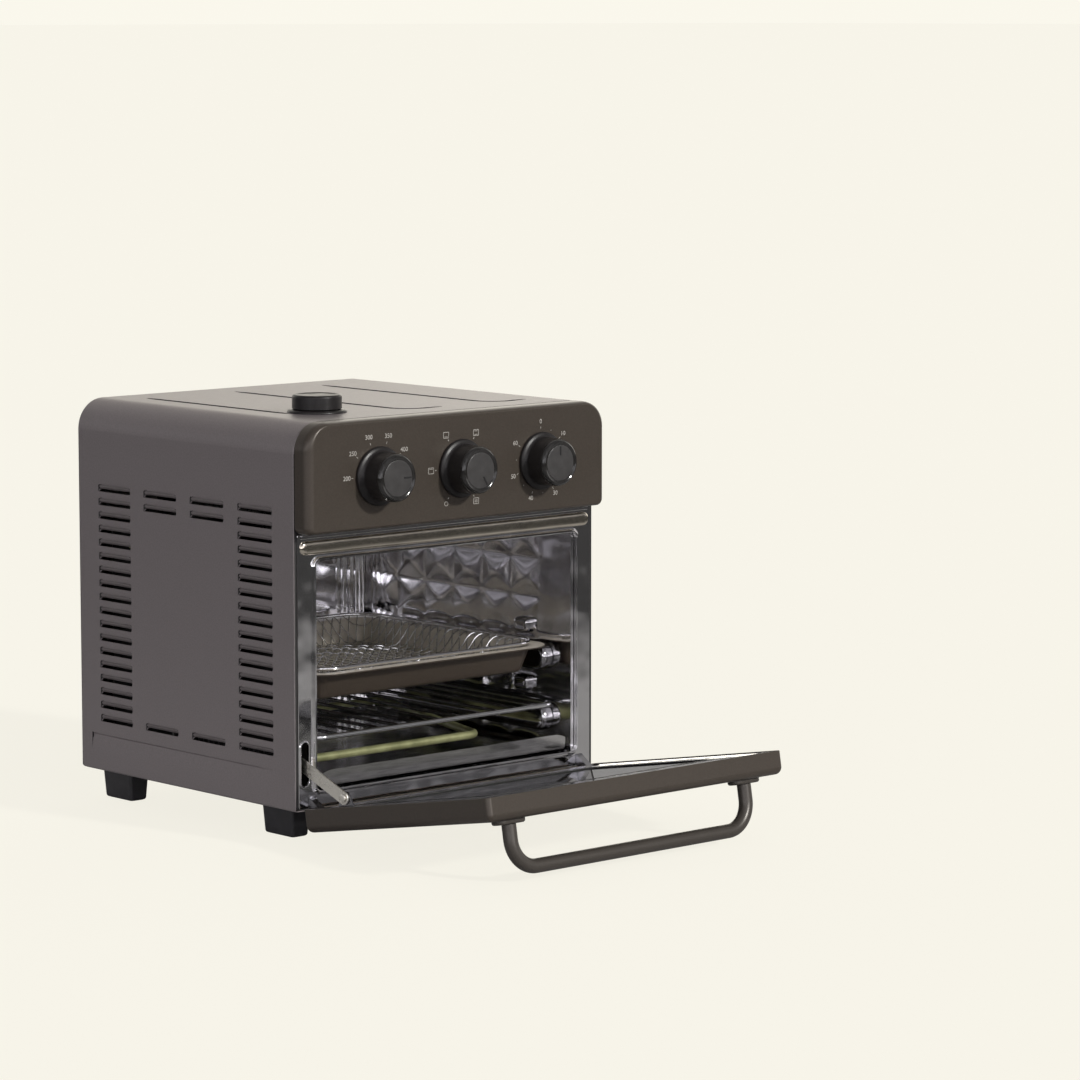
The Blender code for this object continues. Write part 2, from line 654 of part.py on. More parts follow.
def build_door_panels():
    """Painted outer tray, bright inner frame, and two panes."""
    edge = 0.006
    rings = [door_ring(DOOR_SHEET + edge / 2, DOOR_OUTER_Y + DOOR_SHEET),
             door_ring(DOOR_SHEET, DOOR_OUTER_Y + edge),
             door_ring(DOOR_SHEET, DOOR_INNER_Y), door_ring(0, DOOR_INNER_Y)]
    for angle in (0, 30, 60, 90):
        inset = edge * (1 - cos(radians(angle)))
        rings.append(door_ring(inset, DOOR_OUTER_Y + edge * (1 - sin(radians(angle)))))
    tray = loft(rings)
    window = rounded_box((-WINDOW_X, WINDOW_LOW), (WINDOW_X, WINDOW_HIGH), [0.006] * 4, 3)
    cut(tray, prism(window, "Y", DOOR_OUTER_Y - 0.01, DOOR_OUTER_Y + 0.01))
    cut(tray, hinge_notches())
    finish_on_door(tray, "door_shell", DARK_TAUPE)

    inset = DOOR_SHEET + GAP
    frame = loft([door_ring(inset, DOOR_INNER_Y - 0.0015), door_ring(inset, DOOR_INNER_Y - 0.0005)])
    cut(frame, prism(window, "Y", DOOR_INNER_Y - 0.01, DOOR_INNER_Y + 0.01))
    cut(frame, hinge_notches())
    finish_on_door(frame, "door_inner_frame", CHROME)

    pane_low = (-WINDOW_X - 0.008, WINDOW_LOW - 0.007)
    pane_high = (WINDOW_X + 0.008, WINDOW_HIGH + 0.007)
    panes = (("inner", DOOR_INNER_Y - 0.0015 - GAP - 0.003), ("outer", DOOR_OUTER_Y + DOOR_SHEET + GAP))
    for name, y in panes:
        pane = prism(rounded_box(pane_low, pane_high, [0.003] * 4, 1), "Y", y, y + 0.003)
        finish_on_door(pane, f"door_glass_{name}", GLASS)


def build_handle():
    """Bent tube handle on two base plates."""
    plate_top = DOOR_OUTER_Y - GAP
    for side, name in ((-1, "left"), (1, "right")):
        x = side * HANDLE_X
        outline = rounded_box((x - 0.01425, HANDLE_Z - 0.007),
                              (x + 0.01425, HANDLE_Z + 0.007), [0.0065] * 4)
        plate = prism(outline, "Y", plate_top - HANDLE_PLATE, plate_top)
        finish_on_door(plate, f"handle_plate_{name}", DARK_TAUPE)
    start = plate_top - HANDLE_PLATE - GAP
    route = round_corners([(Vector((-HANDLE_X, start, HANDLE_Z)), 0),
                           (Vector((-HANDLE_X, HANDLE_Y, HANDLE_Z)), HANDLE_BEND),
                           (Vector((HANDLE_X, HANDLE_Y, HANDLE_Z)), HANDLE_BEND),
                           (Vector((HANDLE_X, start, HANDLE_Z)), 0)], 6, closed=False)
    finish_on_door(tube(route, HANDLE_RADIUS, 12), "door_handle", DARK_TAUPE)


def build_hinge_ears():
    """Ears on the front frame that carry the door's pins."""
    reach = 0.0042
    foot = FRAME_FRONT_Y - GAP
    outline = round_corners([(Vector((PIN.y - reach, PIN.z - reach)), reach * 0.95),
                             (Vector((PIN.y + reach, PIN.z - reach)), 0.002),
                             (Vector((foot, 0.0320)), 0), (Vector((foot, 0.0405)), 0),
                             (Vector((PIN.y - reach, PIN.z + reach)), 0.003)])
    for side, name in ((-1, "left"), (1, "right")):
        ear = prism(outline, "X", side * EAR_X[0], side * EAR_X[1])
        pin_end = side * (DOOR_WIDTH / 2 - DOOR_SHEET - GAP)
        unite(ear, rod("X", PIN.yz, 0.002, side * (EAR_X[0] + 0.001), pin_end))
        finish(ear, f"hinge_ear_{name}", STEEL)


def build_stay():
    """Lug and rivet on the door, the stay arm, and its spring and anchor inside."""
    x, y, z = STAY_PIVOT
    foot = DOOR_INNER_Y - 0.0005 + GAP
    lug_outline = round_corners([(Vector((foot, z - 0.009)), 0), (Vector((foot, z + 0.009)), 0),
                                 (Vector((y + 0.0045, z + 0.0045)), 0.004),
                                 (Vector((y + 0.0045, z - 0.0045)), 0.004)])
    lug = prism(lug_outline, "X", x + 0.001, x + 0.0022)
    cut(lug, rod("X", (y, z), RIVET_HOLE, x - 0.01, x + 0.01))
    finish_on_door(lug, "stay_lug", STEEL)
    rivet = ((0, x - 0.0022), (0.0032, x - 0.0022), (0.0032, x - 0.0012), (0.002, x - 0.0012),
             (0.002, x + 0.0025), (0.0032, x + 0.0025), (0.0032, x + 0.0032), (0, x + 0.0032))
    finish_on_door(turned(rivet, "X", (y, z), 12), "stay_rivet", STEEL)

    half = STAY_HALF_WIDTH
    arm_outline = rounded_box((y - half, z - half),
                              (y + STAY_LENGTH + half, z + half), [half * 0.98] * 4)
    arm = prism(arm_outline, "X", x - 0.0009, x - 0.0009 + STAY_SHEET)
    cut(arm, rod("X", (y, z), RIVET_HOLE, x - 0.01, x + 0.01))
    cut(arm, rod("X", (y + STAY_LENGTH, z), 0.0015, x - 0.01, x + 0.01, 8))
    finish_on_door(arm, "stay_arm", STEEL, STAY_PIVOT, STAY_RISE - DOOR_OPEN)

    opening = Matrix.Rotation(radians(DOOR_OPEN), 3, "X")
    rise = radians(STAY_RISE)
    hook = PIN + opening @ STAY_PIVOT + Vector((0, cos(rise), sin(rise))) * STAY_LENGTH
    spring = rod("Y", hook.xz, 0.004, hook.y + half + 0.001, ANCHOR_Y - GAP, 10)
    finish(spring, "door_spring", STEEL, Vector((hook.x, ANCHOR_Y, hook.z)))
    anchor = box((hook.x - 0.005, ANCHOR_Y, BASE_Z + SHEET + GAP),
                 (hook.x + 0.001, ANCHOR_Y + 0.002, hook.z + 0.007))
    finish(anchor, "spring_anchor", STEEL)


# Accessories

def tray_ring(half_x, half_y, radius, z):
    """A rounded rectangle about the accessories' middle."""
    low = (-half_x, TRAY_CENTRE_Y - half_y)
    high = (half_x, TRAY_CENTRE_Y + half_y)
    return lift(rounded_box(low, high, [radius] * 4, 5), "Z", z)


def build_rack():
    """Wire rack on the lower rails."""
    z = RAIL_TOPS["lower"] + GAP + RACK_WIRE
    rim_route = tray_ring(TRAY_HALF.x - RACK_WIRE, TRAY_HALF.y - RACK_WIRE, 0.012, z)
    rack = tube(rim_route, RACK_WIRE, 8, closed=True)
    reach = TRAY_HALF.y - RACK_WIRE - 0.0004
    for index in range(RACK_RODS):
        x = (index - (RACK_RODS - 1) / 2) * RACK_PITCH
        unite(rack, rod("Y", (x, z + 0.0012), RACK_ROD, TRAY_CENTRE_Y - reach, TRAY_CENTRE_Y + reach, 6))
    finish(rack, "wire_rack", CHROME)


def build_pan():
    """Baking pan hung by its rim on the upper rails."""
    hang = RAIL_TOPS["upper"] + GAP
    half_x, half_y = TRAY_HALF
    rings = [tray_ring(half_x - 0.0203, half_y - 0.0203, 0.017, hang - PAN_DEPTH + SHEET),
             tray_ring(half_x - 0.0133, half_y - 0.0133, 0.024, hang + SHEET),
             tray_ring(half_x, half_y, 0.027, hang + SHEET),
             tray_ring(half_x, half_y, 0.027, hang),
             tray_ring(half_x - 0.0125, half_y - 0.0125, 0.025, hang),
             tray_ring(half_x - 0.0195, half_y - 0.0195, 0.018, hang - PAN_DEPTH)]
    finish(loft(rings), "baking_pan", PAN_GREIGE)


def build_basket():
    """Air-fry basket standing in the pan: thin sides under a wire rim."""
    seat = RAIL_TOPS["upper"] + GAP + SHEET + GAP
    half_x, half_y = TRAY_HALF
    rings = [tray_ring(half_x - 0.0230, half_y - 0.0230, 0.016, seat - 0.0191),
             tray_ring(half_x - 0.0157, half_y - 0.0157, 0.022, seat + 0.001),
             tray_ring(half_x - 0.0125, half_y - 0.0125, 0.024, seat + 0.004),
             tray_ring(half_x - 0.0085, half_y - 0.0085, 0.028, seat + 0.004),
             tray_ring(half_x - 0.0085, half_y - 0.0085, 0.028, seat),
             tray_ring(half_x - 0.0147, half_y - 0.0147, 0.023, seat),
             tray_ring(half_x - 0.0220, half_y - 0.0220, 0.017, seat - 0.0201)]
    finish(loft(rings), "air_fry_basket", STEEL)


def build_crumb_tray():
    """Sheet tray on the cavity floor, with an upturned front lip."""
    path = [(Vector((0.115, CRUMB_Z + 0.004)), 0), (Vector((0.114, CRUMB_Z)), 0),
            (Vector((-0.1345, CRUMB_Z)), 0.002), (Vector((-0.1345, CRUMB_Z + 0.013)), 0)]
    outline = sheet(path[::-1], 0.0008)
    finish(prism(outline, "X", -CRUMB_X, CRUMB_X), "crumb_tray", STEEL)


def build_oven():
    """Clear the scene and build every sub-part."""
    for old in list(bpy.data.objects):
        bpy.data.objects.remove(old)
    build_shell()
    build_back_panel()
    build_base()
    build_rear_fittings()
    build_front_frame()
    build_cavity_walls()
    build_cavity_ends()
    build_rails()
    build_heaters()
    build_fan()
    build_control_panel()
    build_controls()
    build_knobs()
    build_steam_fittings()
    build_door_panels()
    build_handle()
    build_hinge_ears()
    build_stay()
    build_rack()
    build_pan()
    build_basket()
    build_crumb_tray()


build_oven()
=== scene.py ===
"""Looks of a countertop convection toaster oven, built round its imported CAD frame.

Metres, +Z up, front towards -Y. Pieces are drawn about the middle of the housing, as the
frame's boxes give it, and piece() moves them back into the frame. Pieces of the door are
drawn shut, about the line of its pins, and opened by on_door().
"""

import json
from math import cos, hypot, pi, radians, sin, sqrt, tan

import bmesh
import bpy
from mathutils import Matrix, Vector


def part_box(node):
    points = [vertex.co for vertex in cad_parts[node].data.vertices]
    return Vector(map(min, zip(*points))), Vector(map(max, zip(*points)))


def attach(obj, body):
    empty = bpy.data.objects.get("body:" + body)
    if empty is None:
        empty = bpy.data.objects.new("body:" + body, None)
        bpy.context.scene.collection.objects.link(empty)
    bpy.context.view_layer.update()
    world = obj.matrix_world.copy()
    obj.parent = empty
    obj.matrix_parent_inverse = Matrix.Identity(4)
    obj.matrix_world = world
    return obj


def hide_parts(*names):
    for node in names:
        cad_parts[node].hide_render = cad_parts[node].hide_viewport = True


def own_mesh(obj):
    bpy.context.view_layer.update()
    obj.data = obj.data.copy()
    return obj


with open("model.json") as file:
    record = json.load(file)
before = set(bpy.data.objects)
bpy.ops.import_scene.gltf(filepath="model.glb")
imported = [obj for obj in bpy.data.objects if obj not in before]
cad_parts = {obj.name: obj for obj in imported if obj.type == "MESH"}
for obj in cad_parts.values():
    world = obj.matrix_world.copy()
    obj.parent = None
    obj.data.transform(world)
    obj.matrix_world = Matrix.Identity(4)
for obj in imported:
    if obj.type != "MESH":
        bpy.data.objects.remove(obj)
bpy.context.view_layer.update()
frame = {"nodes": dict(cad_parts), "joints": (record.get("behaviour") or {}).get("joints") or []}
joints = {joint["name"]: joint for joint in frame["joints"]}


# Places that the frame gives

HOUSING_Y = (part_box("outer_shell")[0].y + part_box("back_panel")[1].y) / 2


def place(node):
    """Lowest and highest corner of a CAD node, measured from the middle of the housing."""
    return [corner - Vector((0, HOUSING_Y, 0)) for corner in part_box(node)]


def pivot(joint):
    """Where a hinge turns, measured from the middle of the housing."""
    return Vector(joints[joint]["pos_m"]) - Vector((0, HOUSING_Y, 0))


SHELL_LOW, SHELL_HIGH = place("outer_shell")
HALF_WIDTH = SHELL_HIGH.x
BASE_Z = SHELL_LOW.z
TOP_Z = SHELL_HIGH.z
FRONT_Y = SHELL_LOW.y
BACK_Y = place("back_panel")[1].y
PANEL_LOW, PANEL_HIGH = place("control_panel")
PANEL_Y = PANEL_LOW.y
FRAME_LOW, FRAME_HIGH = place("front_frame")
WALL_LOW, WALL_HIGH = place("cavity_right_wall")
REAR_WALL_Y = place("cavity_rear_wall")[0].y
FLOOR_Z = place("cavity_floor")[1].z
ROOF_Z = place("cavity_roof")[0].z
PIN = pivot("door_hinge")
DOOR_OPEN = joints["door_hinge"]["range_deg"][1]
CAP_LOW, CAP_HIGH = place("steam_cap")
INLET = (CAP_LOW + CAP_HIGH) / 2
PAN_LOW, PAN_HIGH = place("baking_pan")
BASKET_LOW, BASKET_HIGH = place("air_fry_basket")
RACK_LOW, RACK_HIGH = place("wire_rack")
CRUMB_LOW, CRUMB_HIGH = place("crumb_tray")

# Sizes of the details

SHEET = 0.0008              # painted sheet of the housing
LINER_SHEET = 0.0007
GAP = 0.0003
SHELL_RADIUS = 0.024
REAR_ROUND = 0.004          # lower rear corner of each side
HEM = 0.008
FLANGE = 0.0042             # the wrap's edge turned in behind the front frame
LOUVRE_COLUMNS = (-0.090, -0.030, 0.030, 0.090)
LOUVRE_ROWS = 18
INNER_COLUMN_ROWS = (0, 1, 17)      # rows that the two inner columns have
LOUVRE_TOP_Z = 0.2575       # slit of the first row
LOUVRE_PITCH = 0.011
LOUVRES = [(y, LOUVRE_TOP_Z - row * LOUVRE_PITCH) for y in LOUVRE_COLUMNS for row in
           (range(LOUVRE_ROWS) if abs(y) > 0.05 else INNER_COLUMN_ROWS)]
LOUVRE_LENGTH = 0.0425
LOUVRE_RISE = 0.0052        # crease over the slit
LOUVRE_DEPTH = 0.0026       # how far the blade is pressed in
LOUVRE_CREASE = (0.04, 0.28)    # shares of the blade between which the crease is pressed
LOUVRE_END = 0.0028         # radius of the blade's upper corners
BLADE_LINES = (0, 0.2, 0.4, 0.55, 0.66, 0.719, 0.721, 0.85, 0.96)   # shares of its height
SLIT_HALF = 0.0010
GROOVE_RADIUS = 0.0034      # grooves pressed in the top
GROOVE_DEPTH = 0.0024
GROOVES = ((-0.109, 0.106, -0.076, False), (-0.019, 0.106, -0.111, True),
           (0.072, 0.105, -0.109, True))    # x, rear, front, and whether it bends aside
GROOVE_TAIL = Vector((0.040, 0.004))
LEDGE_Z = 0.0594            # edge of the shallow recess along the foot of each side
LEDGE_END_Y = BACK_Y - 0.014
LEDGE_DEPTH = 0.0010
LEDGE_LINE = 0.0011         # width of the crease along its edge
LEDGE_FADE = 0.013
CAVITY_X = 0.133
MOUTH_X = 0.136
MOUTH_LOW = 0.0435
MOUTH_HIGH = 0.2226
FRAME_FACE_Y = FRONT_Y - 0.0008
STAY_SLOT = (Vector((-0.1501, 0.0488)), Vector((-0.1425, 0.0826)))
QUILT_PITCH = Vector((0.0358, 0.031))       # along the wall, and up it
QUILT_START = Vector((-0.099, 0.104))
QUILT_DEPTH = 0.0016
FLUTES = (0.1035, 0.111, 0.118, 0.1245, 0.129)
RAIL_TOPS = {"upper": 0.129, "lower": 0.079}
RAIL_HEIGHT = 0.022
RAIL_Y = (-0.115, 0.117)
TAB_Y = -0.083
HEATER_RADIUS = 0.00325
HEATER_BACK_Y = 0.088
HEATERS = (("upper", -0.060, 0.2145, -0.1325),     # front y, height, x of the collars
           ("lower", -0.097, 0.060, -0.1225))
PANEL_TURN = 0.0070         # depth over which the panel's edge turns in
PRINT = 0.00004             # half thickness of the print
PRINT_SIZE = 0.0050
KNOB_LENGTH = 0.0238
DIALS = (("temperature", 90), ("function", 150), ("timer", 0))    # pointer's clock angle
DOOR_HALF = 0.1525
DOOR_LOW = -0.005
DOOR_HIGH = 0.212
DOOR_INNER_Y = 0.006
DOOR_OUTER_Y = -0.0124
WINDOW_LOW = Vector((-0.118, 0.027))
WINDOW_HIGH = Vector((0.118, 0.173))
HANDLE_X = 0.122
HANDLE_Z = 0.197
HANDLE_Y = -0.050
HANDLE_BEND = 0.022
HANDLE_RADIUS = 0.0055
STAY_PIVOT = Vector((-0.146, 0.0125, 0.0388))
STAY_LENGTH = 0.062
STAY_RISE = 20.8            # degrees that the arm rises with the door open
PAN_RADIUS = 0.027
RACK_WIRE = 0.00225
RACK_ROD = 0.0014
RACK_RODS = 11
RACK_PITCH = 0.0205
BASKET_RADIUS = 0.026
BASKET_LIP = 0.0045         # fall of the mesh over the width of its lip
LIP_WIDTH = 0.0046
RIM_WIRE = 0.0016
CRUMB_LIP = 0.0128          # height of the crumb tray's front lip


# Geometry

def round_corners(corners, steps=6, closed=True):
    """Turn each (point, radius) corner of an outline or a route into an arc."""
    points = []
    count = len(corners)
    for index, (corner, radius) in enumerate(corners):
        if radius == 0 or not closed and index in (0, count - 1):
            points.append(corner.copy())
            continue
        back = (corners[index - 1][0] - corner).normalized()
        ahead = (corners[(index + 1) % count][0] - corner).normalized()
        half = back.angle(ahead) / 2
        centre = corner + (back + ahead).normalized() * (radius / sin(half))
        first, last = (corner + way * (radius / tan(half)) - centre for way in (back, ahead))
        sweep = pi - 2 * half
        for angle in even(0, sweep, steps):
            arm = first * sin(sweep - angle) + last * sin(angle)
            points.append(centre + arm / sin(sweep))
    return points


def rounded_box(low, high, radius, steps=6):
    """A rectangle in a plane, with one corner radius or four of them."""
    radii = radius if isinstance(radius, (list, tuple)) else [radius] * 4
    places = ((low[0], low[1]), (high[0], low[1]), (high[0], high[1]), (low[0], high[1]))
    return round_corners([(Vector(p), r) for p, r in zip(places, radii)], steps)


def grown(low, high, radius, reach, steps=6):
    """A rounded rectangle moved outwards by a reach, which also grows its corners."""
    edge = Vector((reach, reach))
    return rounded_box(Vector(low) - edge, Vector(high) + edge, max(radius + reach, 2e-4), steps)


def disc(centre, radius, steps=48):
    """Points of a circle in a plane."""
    turn = 2 * pi / steps
    return [Vector(centre) + Vector((cos(turn * i), sin(turn * i))) * radius for i in range(steps)]


def section(base, *rows):
    """Profile points from rows of (reach, height) in millimetres, with heights from a base."""
    return [(reach / 1000, base + height / 1000) for reach, height in rows]


def even(start, end, count):
    """Evenly spaced values, with both ends."""
    return [start + (end - start) * i / count for i in range(count + 1)]


def lift(points, axis, height):
    """Place plane points at a height along an axis: X takes (y, z), Y (x, z), Z (x, y)."""
    if axis == "X":
        return [Vector((height, a, b)) for a, b in points]
    if axis == "Y":
        return [Vector((a, height, b)) for a, b in points]
    return [Vector((a, b, height)) for a, b in points]


def shown(mesh):
    """Put a bmesh into a new object of the scene."""
    data = bpy.data.meshes.new("body")
    mesh.to_mesh(data)
    mesh.free()
    made = bpy.data.objects.new("body", data)
    bpy.context.collection.objects.link(made)
    return made


def solid(mesh):
    """A new object from a bmesh, with its faces pointing out."""
    bmesh.ops.recalc_face_normals(mesh, faces=mesh.faces)
    return shown(mesh)


def loft(rings, looped=False):
    """Skin equal rings of points. The ends are capped unless the rings make a loop."""
    mesh = bmesh.new()
    rows = [[mesh.verts.new(point) for point in ring] for ring in rings]
    pairs = list(zip(rows, rows[1:]))
    if looped:
        pairs.append((rows[-1], rows[0]))
    else:
        mesh.faces.new(rows[0])
        mesh.faces.new(rows[-1])
    for row, following in pairs:
        for index in range(len(row)):
            neighbour = (index + 1) % len(row)
            mesh.faces.new((row[index], row[neighbour], following[neighbour], following[index]))
    return solid(mesh)


def prism(outline, axis, start, end):
    """Extrude a plane outline along an axis."""
    return loft([lift(outline, axis, start), lift(outline, axis, end)])


def box(low, high, soft=0.0003):
    """A box with softly rounded edges."""
    body = prism(rounded_box(low[:2], high[:2], 0, 1), "Z", low[2], high[2])
    return soften(body, soft)


def turned(profile, axis, centre, steps=64, looped=False):
    """Turn (radius, height) points about an axis. A ring-shaped profile is looped."""
    rings = []
    for radius, height in profile:
        rings.append(lift(disc(centre, max(radius, 1e-5), steps), axis, height))
    return loft(rings, looped)


def moulding(low, high, radius, axis, profile, looped=True, steps=8):
    """Run a profile of (reach out, height) round a rounded rectangle."""
    rings = []
    for reach, height in profile:
        rings.append(lift(grown(low, high, radius, reach, steps), axis, height))
    return loft(rings, looped)


def tube(route, radius, sides=16, closed=False, taper=lambda share: 1):
    """Sweep a round section along a route, without twist; taper scales it along its length."""
    last = len(route) - 1
    rings = []
    side = None
    for index, point in enumerate(route):
        before = route[index - 1] if index or closed else point
        after = route[(index + 1) % len(route)] if index < last or closed else point
        tangent = (after - before).normalized()
        side = side or tangent.orthogonal().normalized()
        side = (side - tangent * side.dot(tangent)).normalized()
        across = tangent.cross(side)
        reach = radius * taper(index / last)
        rings.append([point + (side * cos(angle) + across * sin(angle)) * reach
                      for angle in even(0, 2 * pi, sides)[:-1]])
    return loft(rings, closed)


def relief(rows, back):
    """A closed sheet from rows of front points; back() gives the point behind one."""
    return loft([row + [back(row[-1]), back(row[0])] for row in rows])


def sheet(rows, thickness, flip=False, is_open=lambda middle: False):
    """A thickened grid of points, left open where is_open() says so."""
    mesh = bmesh.new()
    grid = [[mesh.verts.new(point) for point in row] for row in rows]
    for row, following in zip(grid, grid[1:]):
        for index in range(len(row) - 1):
            corners = [row[index], row[index + 1], following[index + 1], following[index]]
            if not is_open((corners[0].co + corners[2].co) / 2):
                mesh.faces.new(corners[::-1] if flip else corners)
    return modify(shown(mesh), "SOLIDIFY", thickness=thickness, offset=-1)


def evaluated_mesh(body):
    """An object's mesh as its modifiers, or its curve, make it."""
    bpy.context.view_layer.update()
    evaluated = body.evaluated_get(bpy.context.evaluated_depsgraph_get())
    return bpy.data.meshes.new_from_object(evaluated)


def modify(body, kind, **settings):
    """Apply one modifier to an object."""
    modifier = body.modifiers.new(kind, kind)
    for name, value in settings.items():
        setattr(modifier, name, value)
    result = evaluated_mesh(body)
    body.modifiers.clear()
    body.data = result
    return body


def cut(body, tool):
    """Cut a tool out of a body."""
    modify(body, "BOOLEAN", operation="DIFFERENCE", object=tool)
    bpy.data.objects.remove(tool)
    return body


def soften(body, width, segments=3):
    """Round an object's sharp edges."""
    return modify(body, "BEVEL", width=width, segments=segments, limit_method="ANGLE",
                  angle_limit=radians(30))


def join(bodies):
    """Put several objects' meshes into one object. Their faces keep their material's index."""
    mesh = bmesh.new()
    for body in bodies:
        mesh.from_mesh(body.data)
        bpy.data.objects.remove(body)
    return shown(mesh)


def moved(body, matrix):
    """Move a mesh by a matrix."""
    body.data.transform(matrix)
    return body


def painted(body, index, test=None):
    """Give a mesh's faces, or those that pass a test of middle and normal, one material."""
    for face in body.data.polygons:
        if test is None or test(face.center, face.normal):
            face.material_index = index
    return body


def on_door(body, *rest, **more):
    """Open a piece that was drawn shut, about the line of the door's pins, and finish it."""
    moved(body, Matrix.Translation(PIN) @ Matrix.Rotation(radians(DOOR_OPEN), 4, "X"))
    return piece(body, *rest, **more)


def piece(body, name, part, slot, looks, replaces=(), crease=35):
    """Name, paint and shade a piece, and let it ride on its CAD body."""
    body.name = name
    moved(body, Matrix.Translation((0, HOUSING_Y, 0)))
    for look in looks if isinstance(looks, (list, tuple)) else [looks]:
        body.data.materials.append(look)
    body.data.shade_smooth()
    body.data.set_sharp_from_angle(angle=radians(crease))
    modify(body, "WEIGHTED_NORMAL", keep_sharp=True)
    body.data.name = name
    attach(body, part)
    if replaces:
        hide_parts(*replaces)
    return body


# Materials

NOISE_RANGE = (0.3, 0.7)    # where most of a noise's values lie


class Graph:
    """Short ways to build a node tree."""

    def __init__(self, tree):
        self.nodes = tree.nodes
        self.links = tree.links

    def add(self, kind, inputs=(), out=0, **settings):
        """Add a node with its settings. Its inputs are values or sockets to link to."""
        node = self.nodes.new(f"ShaderNode{kind}")
        for name, value in settings.items():
            setattr(node, name, value)
        for name, value in dict(inputs).items():
            if isinstance(value, bpy.types.NodeSocket):
                self.links.new(value, node.inputs[name])
            else:
                node.inputs[name].default_value = value
        return node.outputs[out]

    def spread(self, source, old, new, **settings):
        """Map a value from one range to another."""
        inputs = {"Value": source, "From Min": old[0], "From Max": old[1],
                  "To Min": new[0], "To Max": new[1]}
        return self.add("MapRange", inputs, **settings)

    def ramp(self, source, stops, interpolation="LINEAR"):
        """A colour ramp through (position, colour) stops."""
        output = self.add("ValToRGB", {"Fac": source})
        ramp = output.node.color_ramp
        ramp.interpolation = interpolation
        while len(ramp.elements) < len(stops):
            ramp.elements.new(0.5)
        for element, (position, colour) in zip(ramp.elements, stops):
            element.position = position
            element.color = (*colour, 1)
        return output

    def finish(self, source, end):
        """Link a shader to the tree's output node."""
        self.links.new(source, self.nodes[end].inputs["Surface"])


class Look(Graph):
    """A Principled material with helpers for the noises and ramps that feed it."""

    def __init__(self, name, colour, roughness, metallic=0.0, **sockets):
        self.material = bpy.data.materials.new(name)
        self.material.use_nodes = True
        super().__init__(self.material.node_tree)
        self.inputs = self.nodes["Principled BSDF"].inputs
        self.colour = colour
        sockets.update(Base_Color=(*colour, 1), Roughness=roughness, Metallic=metallic)
        for socket, value in sockets.items():
            self.inputs[socket.replace("_", " ")].default_value = value
        self.place = self.add("TexCoord", out="Object")
        self.normal = None

    def noise(self, size, stretch=(1, 1, 1), detail=3.0):
        """A noise whose features are about a size across, in metres."""
        scale = [1 / (size * s) for s in stretch]
        vector = self.add("Mapping", {"Vector": self.place, "Scale": scale})
        return self.add("TexNoise", {"Vector": vector, "Scale": 1, "Detail": detail})

    def roughness(self, source, low, high):
        """Vary the roughness between two values."""
        self.links.new(self.spread(source, NOISE_RANGE, (low, high)), self.inputs["Roughness"])

    def tint(self, source, dark, light):
        """Mix two colours by a noise."""
        stops = list(zip(NOISE_RANGE, (dark, light)))
        self.links.new(self.ramp(source, stops), self.inputs["Base Color"])

    def mottle(self, source, amount):
        """Vary the base colour's lightness by an amount."""
        self.tint(source, *([min(channel * share, 1) for channel in self.colour]
                            for share in (1 - amount, 1 + amount)))

    def bump(self, source, height, strength=1.0):
        """Add a bump of a height in metres to those already there."""
        inputs = {"Height": source, "Strength": strength, "Distance": height}
        if self.normal:
            inputs["Normal"] = self.normal
        self.normal = self.add("Bump", inputs)
        self.links.new(self.normal, self.inputs["Normal"])


def paint(name, colour, roughness, metallic=0.25, grain=0.00045, **sockets):
    """Satin powder coat: orange-peel grain, faint flake and slow changes of tone."""
    look = Look(name, colour, roughness, metallic, **sockets)
    look.mottle(look.noise(0.0011, detail=5), 0.10)
    look.roughness(look.noise(0.006), roughness - 0.015, roughness + 0.015)
    look.bump(look.noise(grain, detail=2), 0.00005, 0.35)
    return look.material


def polished(name, colour, roughness, wave=0.00006, grain=(1, 1, 1), **sockets):
    """Bright sheet steel: slow waves in the sheet, and fine rubbing marks."""
    look = Look(name, colour, roughness, 1.0, **sockets)
    look.mottle(look.noise(0.02), 0.06)
    look.roughness(look.noise(0.0012, grain, 4), roughness * 0.7, roughness * 1.5)
    look.bump(look.noise(0.028, detail=1), wave * 12, 0.5)
    look.bump(look.noise(0.0008, grain, 2), 0.000004, 0.2)
    return look.material


def moulded(name, colour, roughness, grain=0.0006, height=0.00004, **sockets):
    """Moulded plastic with a fine spark-eroded texture."""
    look = Look(name, colour, roughness, **sockets)
    look.mottle(look.noise(0.006), 0.12)
    look.roughness(look.noise(0.01), roughness - 0.05, roughness + 0.06)
    look.bump(look.noise(grain, detail=2), height, 0.5)
    return look.material


def oxide(name):
    """Heater sheath: olive oxide, blotched by heat along its length."""
    look = Look(name, (0.25, 0.255, 0.125), 0.42, 0.35)
    look.tint(look.noise(0.012, detail=4), (0.18, 0.185, 0.085), (0.32, 0.325, 0.165))
    look.roughness(look.noise(0.004), 0.34, 0.50)
    look.bump(look.noise(0.0007), 0.00004, 0.4)
    return look.material


def pane(name):
    """Tempered glass with a faint tint."""
    look = Look(name, (0.80, 0.80, 0.78), 0.02, IOR=1.5, Transmission_Weight=1.0)
    look.roughness(look.noise(0.02), 0.015, 0.035)
    look.bump(look.noise(0.06, detail=1), 0.0003, 0.3)
    return look.material


